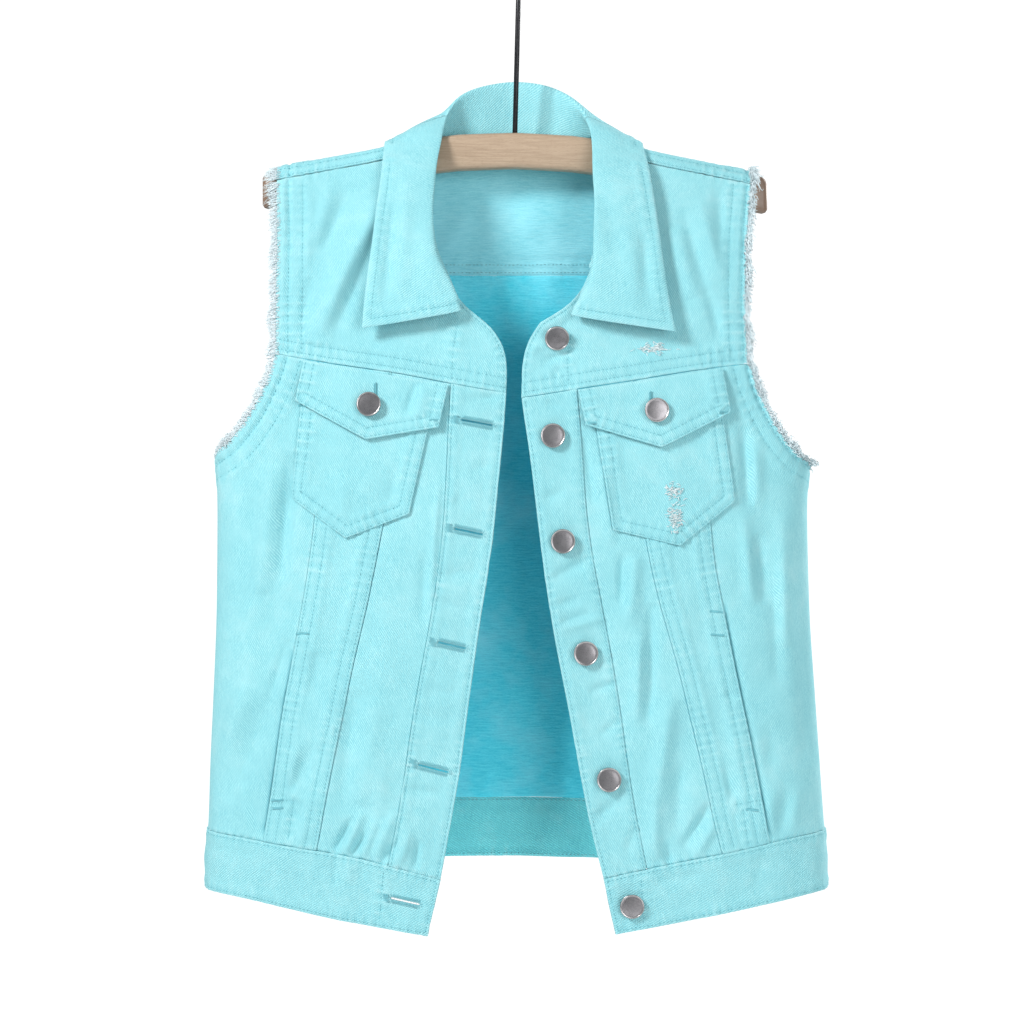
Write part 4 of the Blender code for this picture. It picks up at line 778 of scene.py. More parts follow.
def pucker(sheet, tree, places):
    """Draws the cloth in along its rows, in small uneven waves, and notes for each point how worn it is and
    how much shade is painted on it.
    """
    mesh = sheet.piece.data
    away = np.empty(len(sheet.points))
    along = np.empty(len(sheet.points))
    for number, place in enumerate(sheet.points):
        _, nearest, distance = tree.find(place)
        away[number] = distance / MM
        along[number] = places[nearest]
    # Wavelengths along the rows and reaches beside them are in mm.
    sway = 1.4 * np.sin(along / 23.0) + 0.9 * np.sin(along / 11.3 + 1.7)
    strong = 0.55 + 0.45 * np.sin(along / 37.0 + 0.6) * np.sin(along / 13.0)
    wave = np.sin(2 * np.pi * (along + sway * 2.2) / 7.4) * strong
    height = 0.55 * wave * np.exp(-((away / 5.0) ** 2)) - 0.42 * np.exp(-((away / 1.5) ** 2))
    ladder = np.sin(2 * np.pi * (along + sway) / 3.7) * (0.6 + 0.4 * np.sin(along / 19.0))
    height += 0.15 * ladder * np.exp(-((away / 4.0) ** 2)) + lapped(sheet)
    moved = sheet.points + sheet.normals * (height * MM)[:, None]
    for first, last in SIDE_SEAMS.get(sheet.node, ()):
        moved += slid_out(sheet, first, last, SEAM_CLOSE)
    if sheet.node in POCKET_MOUTHS:
        tucked = slid_out(sheet, *POCKET_MOUTHS[sheet.node][:2], TUCK)
        moved += tucked * (mouth_reach(sheet) ** 2)[:, None]
    put_coordinates(mesh, moved)
    edge = sheet.distances(tree_of([sheet.points[point] for loop in sheet.loops for point in loop]))
    # Lighter at the worn edges, lighter on the crests of the puckers and ladder ridges and darker between
    # them, and a thin line of painted shade along each row, where the stitches sink in.
    worn_and_shaded = 0.4 * np.exp(-((edge / 1.6) ** 2)) + 0.55 * np.clip(wave, -1, 1) * np.exp(-((away / 4.5) ** 2))
    worn_and_shaded += 0.3 * ladder * np.exp(-((away / 4.0) ** 2)) - 0.55 * np.exp(-((away / 1.2) ** 2))
    # Painted shadow in the slit of a slanted pocket, where the cloth goes into the dark opening.
    if sheet.node in POCKET_MOUTHS:
        away = near_edge(sheet, *POCKET_MOUTHS[sheet.node][:2])
        worn_and_shaded -= MOUTH_SHADE * (1 - soft_step(away, 2.0, 3.4)) * mouth_reach(sheet)
    tone = mesh.attributes.new("wear_and_painted_shade", "FLOAT", "POINT")
    tone.data.foreach_set("value", worn_and_shaded.astype(np.float32))
    sheet.refresh()


for sheet in sheets.values():
    if sheet.node in LAID_ON:
        near_rows = [entry for entry in rows if entry[0] is sheet]
    else:
        near_rows = [entry for entry in rows if entry[0].node not in LOOSE]
    pucker(sheet, *gather_rows(near_rows))
rows = [(sheet, [(*sheet.snap(spot), along) for spot, _, along in row]) for sheet, row in rows]


# Materials


class Finish:
    """A material under construction, with short calls for its nodes."""

    def __init__(self, name):
        self.material = bpy.data.materials.new(name)
        self.material.use_nodes = True
        self.tree = self.material.node_tree
        self.shader = self.tree.nodes["Principled BSDF"]

    def node(self, kind, **settings):
        made = self.tree.nodes.new("ShaderNode" + kind)
        for key, value in settings.items():
            setattr(made, key, value)
        return made

    def link(self, output, target):
        self.tree.links.new(output, target)

    def fill(self, target, value):
        """Sets a socket to a constant, or links an output to it."""
        if isinstance(value, (int, float, tuple)):
            target.default_value = value
        else:
            self.link(value, target)

    def shade(self, **values):
        """Fills the shader's sockets, named with _ for a space."""
        for name, value in values.items():
            self.fill(self.shader.inputs[name.replace("_", " ")], value)

    def weave(self):
        """The place in the weave, which each sheet carries as an attribute."""
        return self.node("Attribute", attribute_name="weave").outputs["Vector"]

    def place(self):
        """The place in the object."""
        return self.node("TexCoord").outputs["Object"]

    def add(self, a, b):
        return self.math("ADD", a, b)

    def math(self, operation, a, b=0.0):
        made = self.node("Math", operation=operation)
        self.fill(made.inputs[0], a)
        self.fill(made.inputs[1], b)
        return made.outputs[0]

    def blend(self, amount, a, b, kind="MIX"):
        made = self.node("Mix", data_type="RGBA", blend_type=kind)
        self.fill(made.inputs["Factor"], amount)
        self.fill(made.inputs[6], a)
        self.fill(made.inputs[7], b)
        return made.outputs[2]

    def between(self, value, low, high, start=0.0, end=1.0):
        made = self.node("MapRange", clamp=True)
        self.fill(made.inputs["Value"], value)
        for socket, number in zip(("From Min", "From Max", "To Min", "To Max"), (low, high, start, end)):
            made.inputs[socket].default_value = number
        return made.outputs[0]

    def noise(self, vector, scale, detail=3.0, rough=0.55):
        made = self.node("TexNoise")
        self.link(vector, made.inputs["Vector"])
        made.inputs["Scale"].default_value = scale
        made.inputs["Detail"].default_value = detail
        made.inputs["Roughness"].default_value = rough
        return made.outputs["Fac"]

    def bands(self, vector, scale, distortion, detail_scale):
        made = self.node("TexWave", wave_type="BANDS", bands_direction="X", wave_profile="SIN")
        self.link(vector, made.inputs["Vector"])
        made.inputs["Scale"].default_value = scale
        made.inputs["Distortion"].default_value = distortion
        made.inputs["Detail"].default_value = 2.0
        made.inputs["Detail Scale"].default_value = detail_scale
        return made.outputs["Fac"]

    def turned(self, vector, degrees, scale=(1, 1, 1)):
        made = self.node("Mapping")
        self.link(vector, made.inputs["Vector"])
        made.inputs["Rotation"].default_value = (0, 0, math.radians(degrees))
        made.inputs["Scale"].default_value = scale
        return made.outputs["Vector"]

    def bump(self, height, distance, strength=1.0, under=None):
        made = self.node("Bump")
        made.inputs["Strength"].default_value = strength
        made.inputs["Distance"].default_value = distance
        self.link(height, made.inputs["Height"])
        if under:
            self.link(under, made.inputs["Normal"])
        self.link(made.outputs["Normal"], self.shader.inputs["Normal"])
        return made.outputs["Normal"]


def wave_scale(pitch_mm):
    """Scale at which a band texture repeats at a pitch."""
    return 2 * math.pi / 20 / (pitch_mm * MM)


def denim(name, angle, pitch, light, red=1.0):
    """Washed twill: slanted ribs broken up by the weft, faded on edges and raised places, with painted shade
    along the rows of stitches and in the slits of the slanted pockets.
    """
    finish = Finish(name)
    place = finish.weave()
    wear_and_painted_shade = finish.node("Attribute", attribute_name="wear_and_painted_shade").outputs["Fac"]
    ribs = finish.bands(finish.turned(place, angle), wave_scale(pitch), 2.4, 1.6)
    steps = finish.noise(finish.turned(place, angle, (1, 0.45, 1)), 720.0, 2.0)
    slubs = finish.noise(finish.turned(place, 0, (1, 0.12, 1)), 900.0, 3.0)
    grain = finish.noise(place, 2600.0, 2.0)
    wash = finish.noise(place, 13.0, 5.0, 0.6)
    patches = finish.noise(place, 70.0, 4.0, 0.6)
    weft_over = finish.between(steps, 0.25, 0.6, 0.25, 1.0)
    yarn = finish.math("MULTIPLY", finish.between(ribs, 0.1, 0.9), weft_over)
    yarn = finish.add(yarn, finish.between(slubs, 0.3, 0.7, -0.18, 0.18))
    valley = (0.20 * light * red, 0.53 * light, 0.60 * light, 1.0)
    crest = (0.37 * light * red, 0.745 * light, 0.78 * light, 1.0)
    clear = finish.between(finish.noise(place, 48.0, 3.0), 0.32, 0.62, 0.25, 1.0)
    even = finish.add(finish.math("MULTIPLY", finish.math("SUBTRACT", yarn, 0.42), clear), 0.42)
    colour = finish.blend(finish.between(even, 0.0, 0.85), valley, crest)
    tone = finish.between(wash, 0.3, 0.7, -0.3, 0.3)
    tone = finish.add(tone, finish.between(patches, 0.3, 0.7, -0.25, 0.25))
    tone = finish.add(tone, finish.math("MULTIPLY", wear_and_painted_shade, 0.85))
    tone = finish.add(tone, finish.between(grain, 0.3, 0.7, -0.25, 0.25))
    pale = finish.blend(finish.between(tone, 0.0, 1.6, 0.0, 0.6), colour, (0.62, 0.86, 0.87, 1.0))
    # Low tones turn a deeper teal: partly the random mottling of the dye, partly the painted shade along the
    # rows and in the pocket slits.
    deep = finish.blend(finish.between(tone, -1.3, 0.0, 0.45, 0.0), pale, (0.13, 0.44, 0.52, 1.0))
    # The darkest colour is painted shadow, laid mainly in the slits of the slanted pockets.
    painted_slit_shadow = finish.blend(finish.between(tone, -2.8, -1.3, 0.75, 0.0), deep, (0.03, 0.20, 0.26, 1.0))
    finish.shade(Base_Color=painted_slit_shadow, Roughness=finish.between(yarn, 0.0, 1.0, 0.97, 0.86))
    finish.shade(Specular_IOR_Level=0.25, Sheen_Weight=0.1, Sheen_Roughness=0.5)
    low = finish.bump(patches, 0.0012, 0.35)
    finish.bump(yarn, 0.0003, 0.75, low)
    return finish.material


def inside(name, valley, crest):
    """The back of the twill: weft yarns lie across it in short soft streaks, in colours given by the caller,
    which paint the shade and the light inside the garment.
    """
    finish = Finish(name)
    place = finish.weave()
    weft = finish.noise(finish.turned(place, 4, (0.13, 1, 1)), 800.0, 3.0)
    broken = finish.noise(finish.turned(place, 30, (0.5, 1, 1)), 1100.0, 2.0)
    wash = finish.noise(place, 15.0, 4.0, 0.6)
    yarn = finish.between(weft, 0.3, 0.7, 0.0, 0.8)
    yarn = finish.add(yarn, finish.between(broken, 0.3, 0.7, -0.1, 0.3))
    colour = finish.blend(finish.between(yarn, 0.0, 1.0), (*valley, 1.0), (*crest, 1.0))
    pale = finish.blend(finish.between(wash, 0.46, 0.70, 0.0, 0.4), colour, (0.42, 0.84, 0.93, 1.0))
    finish.shade(Base_Color=pale, Roughness=0.94, Specular_IOR_Level=0.2)
    finish.bump(yarn, 0.0003, 0.7)
    return finish.material


def darker(colour, share):
    """A colour at a share of its light."""
    return tuple(c * share for c in colour[:3]) + (1.0,)


def thread_finish(name, colour, rough=0.8):
    """Soft yarn, a little darker in places."""
    finish = Finish(name)
    fuzz = finish.noise(finish.place(), 2400.0, 2.0)
    shade = finish.blend(finish.between(fuzz, 0.3, 0.7), darker(colour, 0.78), colour)
    finish.shade(Base_Color=shade, Roughness=rough, Sheen_Weight=0.2)
    finish.bump(fuzz, 0.00015, 0.6)
    return finish.material


finishes = {name: denim(name, *values) for name, values in DENIM.items()}
# Inside the garment: a deep teal of painted shade on the back and side panels, and a paler copy, painted
# light, on the back yoke at the top of the hollow.
finishes["inside"] = inside("denim_inside_painted_shade", (0.055, 0.60, 0.77), (0.14, 0.80, 0.95))
finishes["inside_painted_light"] = inside("denim_inside_painted_light", (0.20, 0.62, 0.72), (0.33, 0.76, 0.84))
# The sewing thread is darker than the cloth: painted shade of the holes and grooves that its stitches sink
# into.
finishes["thread"] = thread_finish("sewing_thread_painted_shade", (0.18, 0.53, 0.60, 1.0))
finishes["satin"] = thread_finish("buttonhole_thread", (0.20, 0.60, 0.68, 1.0))
finishes["frayed"] = thread_finish("frayed_cotton", (0.84, 0.96, 1.0, 1.0), 0.95)
finishes["weft"] = thread_finish("bared_weft", (0.86, 0.97, 0.99, 1.0), 0.95)


def finish_sheet(sheet):
    """Gives a sheet its thickness, its rounded edges and its weave, and takes the place of its node."""
    piece = sheet.piece
    wall = piece.modifiers.new("wall", "SOLIDIFY")
    wall.thickness = sheet.wall * MM
    wall.offset = -1
    wall.material_offset = 1
    piece.data.materials.append(finishes[sheet.finish])
    piece.data.materials.append(finishes[INSIDES.get(sheet.node, sheet.finish)])
    add_bevel(piece, "rounding", sheet.wall * 0.3, 1, 55)
    apply_all(piece)
    mesh = piece.data
    points = vertex_rows(mesh, "co")
    off_middle = points[:, 0] - CENTRE_X * MM
    turned = np.where(points[:, 1] < 0, 40 * MM, 26 * MM) - np.abs(points[:, 1])
    across = off_middle + np.sign(off_middle) * turned * soft_step(np.abs(off_middle) / MM, 110, 190)
    up = points[:, 2] + turned * soft_step(points[:, 2] / MM, -270, -200)
    weave = mesh.attributes.new("weave", "FLOAT_VECTOR", "POINT")
    place = np.column_stack([across, up, np.zeros(len(points))]).astype(np.float32)
    weave.data.foreach_set("vector", place.ravel())
    mesh.shade_smooth()
    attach(piece, "root")
    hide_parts(sheet.node)


for sheet in sheets.values():
    finish_sheet(sheet)


# Sewing


def joined_mesh(name, verts, faces, finish):
    """A piece made of corners and faces, in one finish."""
    mesh = bpy.data.meshes.new(name)
    mesh.from_pydata([tuple(v) for v in verts], [], [tuple(f) for f in faces])
    mesh.materials.append(finish)
    mesh.shade_smooth()
    mesh.update()
    piece = new_piece(name, mesh)
    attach(piece, "root")
    return piece


THIRDS_OF_A_TURN = (0.0, 2.094, 4.189)


class Threads:
    """Collects many short threads into one mesh."""

    def __init__(self):
        self.verts = []
        self.faces = []

    def tube(self, first, rings):
        """Faces of a three-sided tube with closed ends, through rings of corners."""
        last = first + 3 * (rings - 1)
        for a in range(first, last, 3):
            for side in range(3):
                n = (side + 1) % 3
                self.faces.append((a + side, a + n, a + n + 3, a + side + 3))
        self.faces.append((first + 2, first + 1, first))
        self.faces.append((last, last + 1, last + 2))

    def stitch(self, start, end, normal, radius, rise, sink):
        """One stitch: a short thread that dips into the cloth at both ends."""
        along = end - start
        across = normal.cross(along).normalized()
        first = len(self.verts)
        for share, lift, wide in ((0.0, -sink, 0.65), (0.5, rise, 1.0), (1.0, -sink, 0.65)):
            middle = start + along * share + normal * (lift * MM)
            reach = across * (radius * wide * MM)
            self.verts += [middle - reach, middle + normal * (radius * 0.9 * wide * MM), middle + reach]
        self.tube(first, 3)

    def strand(self, path, radius):
        """A loose thread through points, three-sided and tapered at its tip."""
        first = len(self.verts)
        last = len(path) - 1
        for number, place in enumerate(path):
            ahead = path[min(number + 1, last)] - path[max(number - 1, 0)]
            side = ahead.orthogonal().normalized()
            other = ahead.cross(side).normalized()
            reach = radius * (1.0 if number < last else 0.4) * MM
            for angle in THIRDS_OF_A_TURN:
                self.verts.append(place + (side * math.cos(angle) + other * math.sin(angle)) * reach)
        self.tube(first, len(path))

    def strip(self, corners, sides):
        """A closed strip through rings of corners."""
        first = len(self.verts)
        self.verts += corners
        last = first + len(corners) - sides
        for a in range(first, last, sides):
            for side in range(sides):
                n = (side + 1) % sides
                self.faces.append((a + side, a + side + sides, a + n + sides, a + n))
        self.faces.append(tuple(range(first, first + sides)))
        self.faces.append(tuple(reversed(range(last, last + sides))))

    def piece(self, name, finish):
        """Makes the collected threads one piece."""
        piece = joined_mesh(name, self.verts, self.faces, finish)
        edit_whole(piece, bpy.ops.mesh.normals_make_consistent, inside=False)
        return piece


def sew(threads, row, wall=0.0, inside=False):
    """Lays stitches along a row, on the outer face or through the wall on the inner one."""
    start = None
    last_along = None
    for spot, normal, along in row:
        if inside:
            spot = spot - normal * (wall * MM)
            normal = -normal
        if start is None or along - last_along > ROW_BREAK * MM or along < last_along:
            start = (spot, normal, along)
        elif along - start[2] >= (STITCH_LONG - STITCH_GAP) * MM - 1e-9:
            middle = (start[1] + normal).normalized()
            if (spot - start[0]).length < STITCH_LONG * 1.6 * MM:
                threads.stitch(start[0], spot, middle, *SEWING_THREAD)
            start = None
        last_along = along


def group_of(node):
    """The group of sheets whose stitches make one piece."""
    for side in ("left", "right"):
        if node.endswith(side):
            return side
    return {"waistband": "band", "collar": "collar"}.get(node, "back")


for group in ("left", "right", "back", "band", "collar"):
    threads = Threads()
    for sheet, row in rows:
        if group_of(sheet.node) == group:
            sew(threads, row)
            if sheet.node in ("back_yoke", "waistband"):
                sew(threads, row, sheet.wall, inside=True)
    threads.piece("stitching_" + group, finishes["thread"])


def on_front(node, x, z):
    """Place and outward direction on the front of a sheet at x and z in millimetres."""
    return sheets[node].from_front(x * MM, z * MM)


def front_most(x, z):
    """The outermost cloth seen from the front at x and z in millimetres."""
    met = [on_front(node, x, z) for node in sheets]
    met = [(spot, normal) for spot, normal in met if spot]
    return min(met, key=lambda pair: pair[0].y, default=(None, None))


def satin(threads, path, long, thick):
    """Dense short stitches across a path, alternately leaning, as round a buttonhole."""
    for number, (spot, normal, way) in enumerate(path):
        lean = Vector(way) * (long * (1 + 0.16 * math.sin(number * 2.4)) * MM / 2)
        threads.stitch(spot - lean, spot + lean, normal, thick, 0.16, 0.12)


def buttonhole(threads, sheet, ring):
    """Dense stitches round an opening, longest along its sides, with a bar across its inner end."""
    fine = evenly(ring, SATIN_STEP * MM)
    middle = fine.mean(axis=0)
    along = np.gradient(fine, axis=0)
    stitches = []
    for place, run in zip(fine, along):
        _, normal = sheet.snap(place)
        way = np.cross(normal, run / np.linalg.norm(run))
        way *= math.copysign(1.0, way.dot(place - middle))
        spot, normal = sheet.snap(place + way * 1.2 * MM)
        stitches.append((spot + normal * (0.12 * MM), normal, way))
    satin(threads, stitches, SIDE_REACH, SATIN_RADIUS)
    inner = fine[fine[:, 0].argmin()]
    stitches = []
    for step in np.arange(-3.0, 3.1, 0.6):
        spot, normal = sheet.snap(inner + np.array([-3.4, 0.0, step + 0.8]) * MM)
        stitches.append((spot, normal, (1, 0, -0.15)))
    satin(threads, stitches, BAR_REACH, SATIN_RADIUS)


holes = Threads()
slits = Threads()
for node in ("placket_left", "waistband"):
    sheet = sheets[node]
    for number in range(1, len(sheet.loops)):
        ring = closed_path(sheet, number)
        buttonhole(holes, sheet, np.vstack([ring, ring[:1]]))
for node, x, top, foot in FLAP_BUTTONHOLES:
    for side in (-1, 1):
        stitches = []
        for z in np.arange(foot, top, 0.45):
            spot, normal = on_front(node, x + side * 0.95, z)
            stitches.append((spot, normal, (1, 0, 0.05)))
        satin(holes, stitches, 1.5, 0.24)
    slit = [on_front(node, x, z) for z in np.linspace(top + 0.5, foot, 6)]
    slits.strand([spot + normal * (0.25 * MM) for spot, normal in slit], 0.42)
for x, z, length, lean in BAR_TACKS:
    way = Vector((math.cos(math.radians(lean)), 0, math.sin(math.radians(lean))))
    stitches = []
    for step in np.arange(-length / 2, length / 2, 0.42):
        spot, normal = front_most(x + way.x * step, z + way.z * step)
        if spot:
            cross = Vector((-way.z, 0, way.x))
            stitches.append((spot + normal * 0.0001, normal, cross))
    satin(holes, stitches, 2.0, 0.25)
holes.piece("buttonholes_and_bar_tacks", finishes["satin"])
slits.piece("flap_buttonhole_slits", finishes["thread"])


# Frayed armholes

FRAY = {
    # side: threads a mm, shortest, longest mm, share of long curly ones, curl, how far in they start mm
    "left": (8.0, 4.4, 7.4, 0.06, 0.45, 3.5),
    "right": (5.7, 3.4, 6.6, 0.34, 0.9, 1.5),
}
TUFTS = {
    # side: places with longer threads (x, z in mm, reach in mm, extra length in mm)
    "left": ((-184, -198, 16, 5.0), (-186, -328, 7, 6.0), (-222, -395, 9, 2.5)),
    "right": ((172, -198, 16, 6.0), (172, -262, 18, 4.0), (173, -316, 14, 4.0), (205, -400, 16, 3.5)),
}


def armhole_edges(side):
    """The sheets round one armhole, from the underarm over the shoulder, and the ends of their edges."""
    edges = {}
    for node, first, last, distances in STITCHED_EDGES:
        if distances == ARMHOLES[side]:
            edges[node] = (first, last)
    order = ("front_side_" + side, "front_yoke_" + side, "back_yoke", "back_panel")
    return [(node, *edges[node]) for node in order]


def loosened(draw, start, lean, turn, along, normal, length, curl_size):
    """Path and radius of one loosened thread: a short bent one, or a long one that curls."""
    curly = curl_size > 0.5
    steps = 8 if curly else 4
    straight = 0.7 if curly else 1.0
    loop_size = draw.uniform(0.7, 1.5) if curly else 0.0
    turns = draw.uniform(1.1, 1.9) * math.pi
    points = []
    for step in range(steps):
        t = step / (steps - 1)
        swing = math.sin(t * math.pi * (1.0 + curl_size)) * curl_size * 0.4
        drop = Vector((0, 0, -0.3)) * (t * t)
        place = start + (lean * t * straight + turn * swing + drop) * (length * MM)
        round_it = along * math.sin(t * turns) + normal * (0.7 - 0.7 * math.cos(t * turns))
        points.append(place + round_it * (loop_size * MM))
    radius = draw.uniform(0.26, 0.36) if curly else draw.uniform(0.15, 0.22)
    return points, radius


def fray(side):
    """A raw edge: a thin selvage of packed yarn and a brush of loosened threads along it."""
    draw = random.Random(40 + len(side))
    dense, short, long, wild, curl_most, inset = FRAY[side]
    threads = Threads()
    for node, first, last in armhole_edges(side):
        sheet = sheets[node]
        path = sheet.run(first, last)
        ways = -sheet.inward(path)
        spots = [sheet.snap(place) for place in path]
        count = len(path)
        verts = []
        for place, way, (_, normal) in zip(path, ways, spots):
            reach = draw.uniform(0.5, 0.9)
            for out, deep in ((0.2, 0.4), (reach, 0.6), (reach, 0.95), (0.2, 1.15)):
                verts.append(Vector(place) + Vector(way) * (out * MM) - normal * (deep * MM))
        threads.strip(verts, 4)
        for _ in range(int(count * dense)):
            k = draw.randrange(count)
            place = Vector(path[k])
            way = Vector(ways[k])
            along = Vector(path[min(k + 1, count - 1)] - path[max(k - 1, 0)]).normalized()
            clump = 0.5 + 0.5 * math.sin(k / 5.0 + len(node)) * math.sin(k / 17.0)
            length = draw.uniform(short, long) * (0.75 + 0.35 * clump)
            curl_size = 0.25
            if draw.random() < wild * clump * 1.6:
                length *= draw.uniform(1.2, 1.9)
                curl_size = curl_most
            for x, z, reach, extra in TUFTS[side]:
                near = math.hypot(place.x / MM - x, place.z / MM - z) / reach
                if near < 1 and draw.random() < 0.7:
                    length += extra * (1 - near) * draw.uniform(0.5, 1.3)
                    curl_size = max(curl_size, curl_most)
            out = draw.uniform(-inset, 1.0) if draw.random() < 0.4 else draw.uniform(-0.4, 1.0)
            spot, normal = sheet.snap(place + way * (min(out, 0.0) * MM))
            start = spot + way * (max(out, 0.0) * MM) + normal * (draw.uniform(0.0, 0.25) * MM)
            if out > -0.4:
                start -= normal * (draw.uniform(0.1, 1.4) * MM)
            lean = (way + along * draw.gauss(0, 0.22) + normal * draw.uniform(-0.1, 0.3)).normalized()
            turn = along * draw.uniform(-1, 1) + normal * draw.uniform(-0.7, 0.7)
            threads.strand(*loosened(draw, start, lean, turn, along, normal, length, curl_size))
    piece = threads.piece("frayed_armhole_" + side, finishes["frayed"])
    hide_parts("armhole_fringe_" + side)


for side in ("left", "right"):
    fray(side)


def tear():
    """Small worn places: pale weft threads that lie loose across a rubbed patch."""
    draw = random.Random(12)
    threads = Threads()
    for node, x, z, wide, high, count in TEARS:
        for _ in range(count):
            cx = x + draw.gauss(0, wide / 4)
            cz = z + draw.gauss(0, high / 4)
            lean = draw.gauss(0.1, 0.6)
            length = draw.uniform(1.6, 4.2)
            bend = draw.uniform(-0.8, 0.8)
            arch = draw.uniform(1.0, 3.2)
            points = []
            for step in range(5):
                t = step / 4 - 0.5
                px = cx + math.cos(lean) * length * t - math.sin(lean) * bend * (0.25 - t * t) * 4
                pz = cz + math.sin(lean) * length * t + math.cos(lean) * bend * (0.25 - t * t) * 4
                spot, normal = on_front(node, px, pz)
                if spot is None:
                    break
                points.append(spot + normal * ((0.1 + (0.25 - t * t) * arch) * MM))
            if len(points) == 5:
                threads.strand(points, draw.uniform(0.2, 0.38))
    threads.piece("worn_patches", finishes["weft"])


tear()


# Buttons, hanger and hook


def metal(name, colour, rough, brushed):
    """Brushed metal with faint stains."""
    finish = Finish(name)
    place = finish.place()
    scratches = finish.noise(finish.turned(place, 0, (1, 1, 7)), brushed, 4.0, 0.7)
    stains = finish.noise(place, 260.0, 3.0)
    mixed = finish.blend(finish.between(stains, 0.35, 0.7), colour, darker(colour, 0.8))
    dull = finish.between(scratches, 0.3, 0.7, rough * 0.8, rough * 1.25)
    finish.shade(Base_Color=mixed, Metallic=1.0, Roughness=dull)
    finish.bump(scratches, 0.00003, 0.5)
    return finish.material


cap_metal = metal("brushed_dark_nickel", (0.335, 0.32, 0.335, 1.0), 0.3, 1400.0)
# The rim and the shank are a lighter nickel than the cap: a painted highlight round the button's edge.
rim_metal_painted_highlight = metal("nickel_rim_painted_highlight", (0.50, 0.48, 0.48, 1.0), 0.3, 900.0)


def cylinder(sides, radius, depth, middle):
    """A cylinder round the Z axis, with its measures and the height of its middle in mm."""
    bpy.ops.object.select_all(action="DESELECT")
    bpy.ops.mesh.primitive_cylinder_add(
        vertices=sides, radius=radius * MM, depth=depth * MM, location=(0, 0, middle * MM)
    )
    return bpy.context.object


def button_master():
    """A tack button: shank, folded rim and a slightly sunk cap, standing on +Z from the origin."""
    cap = cylinder(48, 9.0, 1.5, 3.35)
    bpy.ops.object.mode_set(mode="EDIT")
    shell = bmesh.from_edit_mesh(cap.data)
    bpy.ops.mesh.select_all(action="DESELECT")
    shell.faces.ensure_lookup_table()
    for face in shell.faces:
        face.select = face.normal.z > 0.9
    bmesh.update_edit_mesh(cap.data)
    for thickness, depth in ((0.55, 0.25), (0.45, -0.42), (1.6, 0.22), (2.2, 0.18), (2.0, 0.08)):
        bpy.ops.mesh.inset(thickness=thickness * MM, depth=depth * MM)
    bpy.ops.object.mode_set(mode="OBJECT")
    bpy.ops.object.transform_apply(location=True, rotation=True, scale=True)
    add_bevel(cap, "soft_edges", 0.3, 2, 40)
    apply_all(cap)
    shank = cylinder(24, 3.4, 2.7, 1.35)
    bpy.ops.object.transform_apply(location=True, rotation=True, scale=True)
    cap.data.materials.append(cap_metal)
    cap.data.materials.append(rim_metal_painted_highlight)
    for face in cap.data.polygons:
        distance = math.hypot(face.center.x, face.center.y)
        face.material_index = 1 if distance > 7.9 * MM else 0
    shank.data.materials.append(rim_metal_painted_highlight)
    cap.select_set(True)
    shank.select_set(True)
    bpy.context.view_layer.objects.active = cap
    bpy.ops.object.join()
    choose(cap)
    bpy.ops.object.shade_smooth_by_angle(angle=math.radians(35))
    return cap


master = button_master()
for node in sorted(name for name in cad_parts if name.startswith("button_")):
    points = vertex_rows(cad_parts[node].data, "co")
    middle = points.mean(axis=0)
    _, _, ways = np.linalg.svd(points - middle, full_matrices=False)
    axis = Vector(ways[2])
    if axis.y > 0:
        axis = -axis
    foot = Vector(middle) + axis * min((Vector(p) - Vector(middle)).dot(axis) for p in points)
    button = new_piece(node.replace("button_", "tack_button_"), master.data.copy())
    turn = axis.to_track_quat("Z", "Y").to_matrix().to_4x4()
    spin = Matrix.Rotation(len(node) * 0.9, 4, "Z")
    button.data.transform(Matrix.Translation(foot) @ turn @ spin)
    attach(button, "root")
    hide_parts(node)
bpy.data.objects.remove(master)


def solid_copy(node, name, finish, angle):
    """A smooth-shaded copy of a hard node in a better finish."""
    piece = new_piece(name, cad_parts[node].data.copy())
    edit_whole(piece, bpy.ops.mesh.remove_doubles, threshold=WELD)
    piece.data.materials.clear()
    piece.data.materials.append(finish)
    bpy.ops.object.shade_smooth_by_angle(angle=math.radians(angle))
    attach(piece, "root")
    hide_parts(node)
    return piece


def wood():
    """Varnished beech: fine long grain with short darker flecks."""
    finish = Finish("varnished_beech")
    place = finish.place()
    long_grain = finish.noise(finish.turned(place, 0, (6, 60, 110)), 9.0, 5.0, 0.6)
    flecks = finish.noise(finish.turned(place, 0, (55, 500, 520)), 6.0, 2.0, 0.5)
    rings = finish.bands(finish.turned(place, 90, (0.06, 1, 1)), 26.0, 5.0, 1.5)
    grain = finish.between(long_grain, 0.3, 0.72)
    mixed = finish.blend(grain, (0.47, 0.35, 0.245, 1.0), (0.29, 0.195, 0.125, 1.0))
    mixed = finish.blend(finish.between(rings, 0.2, 0.9, 0.0, 0.3), mixed, (0.52, 0.40, 0.29, 1.0))
    mixed = finish.blend(finish.between(flecks, 0.56, 0.7, 0.0, 0.5), mixed, (0.26, 0.16, 0.10, 1.0))
    # Both ends turn dark brown: partly their end grain, partly painted shade.
    apart = finish.node("SeparateXYZ")
    finish.link(place, apart.inputs[0])
    end = finish.math("ABSOLUTE", finish.add(apart.outputs[0], -CENTRE_X * MM))
    mixed = finish.blend(finish.between(end, 0.168, 0.184, 0.0, 0.8), mixed, (0.17, 0.10, 0.07, 1.0))
    finish.shade(Base_Color=mixed, Roughness=finish.between(long_grain, 0.3, 0.7, 0.38, 0.5))
    finish.shade(Coat_Weight=0.25, Coat_Roughness=0.3)
    finish.bump(flecks, 0.0001, 0.4)
    return finish.material


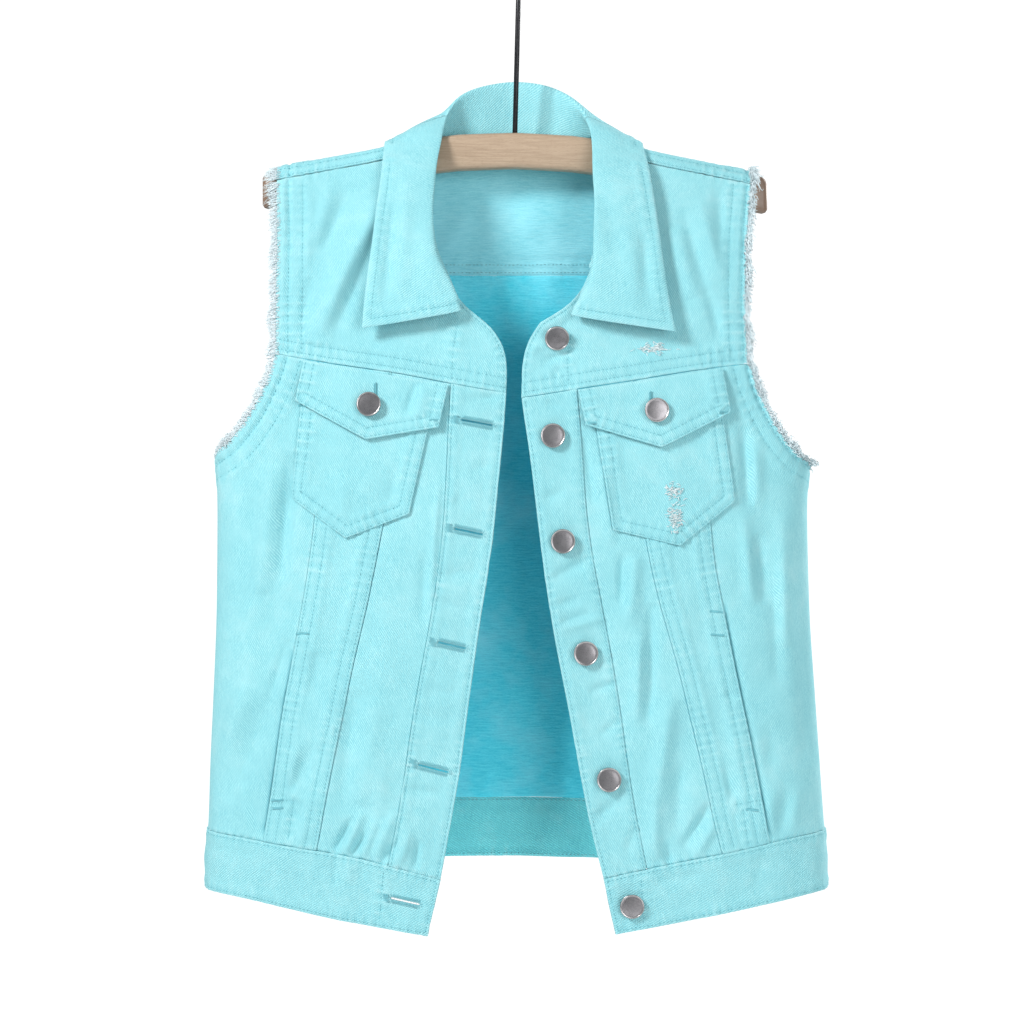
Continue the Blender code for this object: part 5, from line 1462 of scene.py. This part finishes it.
def coated_wire():
    """Black coated wire, dull in specks."""
    finish = Finish("black_coated_wire")
    specks = finish.noise(finish.place(), 900.0, 3.0)
    speckled = finish.between(specks, 0.4, 0.7)
    mixed = finish.blend(speckled, (0.018, 0.018, 0.02, 1.0), (0.035, 0.035, 0.04, 1.0))
    finish.shade(Base_Color=mixed, Metallic=0.6, Roughness=finish.between(specks, 0.3, 0.7, 0.28, 0.42))
    finish.bump(specks, 0.00005, 0.4)
    return finish.material


solid_copy("hanger_arm", "beech_arm", wood(), 32)
solid_copy("hanger_hook", "wire_hook", coated_wire(), 40)


# Floor, light and camera


def stage():
    """A pale floor, soft studio light with a white backdrop, and the photograph's point of view."""
    bpy.ops.object.select_all(action="DESELECT")
    bpy.ops.mesh.primitive_circle_add(vertices=64, radius=1.35, fill_type="NGON", location=(0, 0, -1.25))
    floor = bpy.context.object
    floor.name = "pale_floor"
    bpy.ops.object.transform_apply(location=True, rotation=True, scale=True)
    finish = Finish("pale_floor")
    soft = finish.between(finish.noise(finish.place(), 5.0, 2.0), 0.3, 0.7)
    finish.shade(Base_Color=finish.blend(soft, (0.86, 0.86, 0.86, 1.0), (0.9, 0.9, 0.9, 1.0)), Roughness=0.9)
    floor.data.materials.append(finish.material)
    world = bpy.data.worlds.new("studio")
    bpy.context.scene.world = world
    world.use_nodes = True
    nodes = world.node_tree.nodes
    links = world.node_tree.links
    ambient = nodes["Background"]
    ambient.inputs["Color"].default_value = (0.92, 0.985, 1.0, 1.0)
    ambient.inputs["Strength"].default_value = 0.34
    backdrop = nodes.new("ShaderNodeBackground")
    backdrop.inputs["Strength"].default_value = 1.4
    seen = nodes.new("ShaderNodeLightPath")
    either = nodes.new("ShaderNodeMixShader")
    links.new(seen.outputs["Is Camera Ray"], either.inputs["Fac"])
    links.new(ambient.outputs[0], either.inputs[1])
    links.new(backdrop.outputs[0], either.inputs[2])
    links.new(either.outputs[0], nodes["World Output"].inputs["Surface"])
    for name, place, target, size, power in (
        ("key_light", (-1.6, -1.4, 0.85), (0, 0, -0.45), 0.6, 58.0),
        ("fill_light", (1.25, -2.0, -0.25), (0, 0, -0.45), 1.6, 27.0),
        ("back_light", (1.7, 1.25, 0.55), (0, 0, -0.45), 1.0, 48.0),
    ):
        light = bpy.data.lights.new(name, "AREA")
        light.size = size
        light.energy = power
        lamp = new_piece(name, light)
        lamp.location = place
        lamp.rotation_euler = (Vector(target) - Vector(place)).to_track_quat("-Z", "Y").to_euler()
    view = bpy.data.cameras.new("photo_view")
    view.lens = 84.375
    view.sensor_width = 36.0
    camera = new_piece("photo_view", view)
    camera.location = (-0.0066, -1.8, -0.44925)
    camera.rotation_euler = (math.pi / 2, 0, 0)
    bpy.context.scene.camera = camera
    bpy.context.scene.view_settings.view_transform = "Standard"


stage()
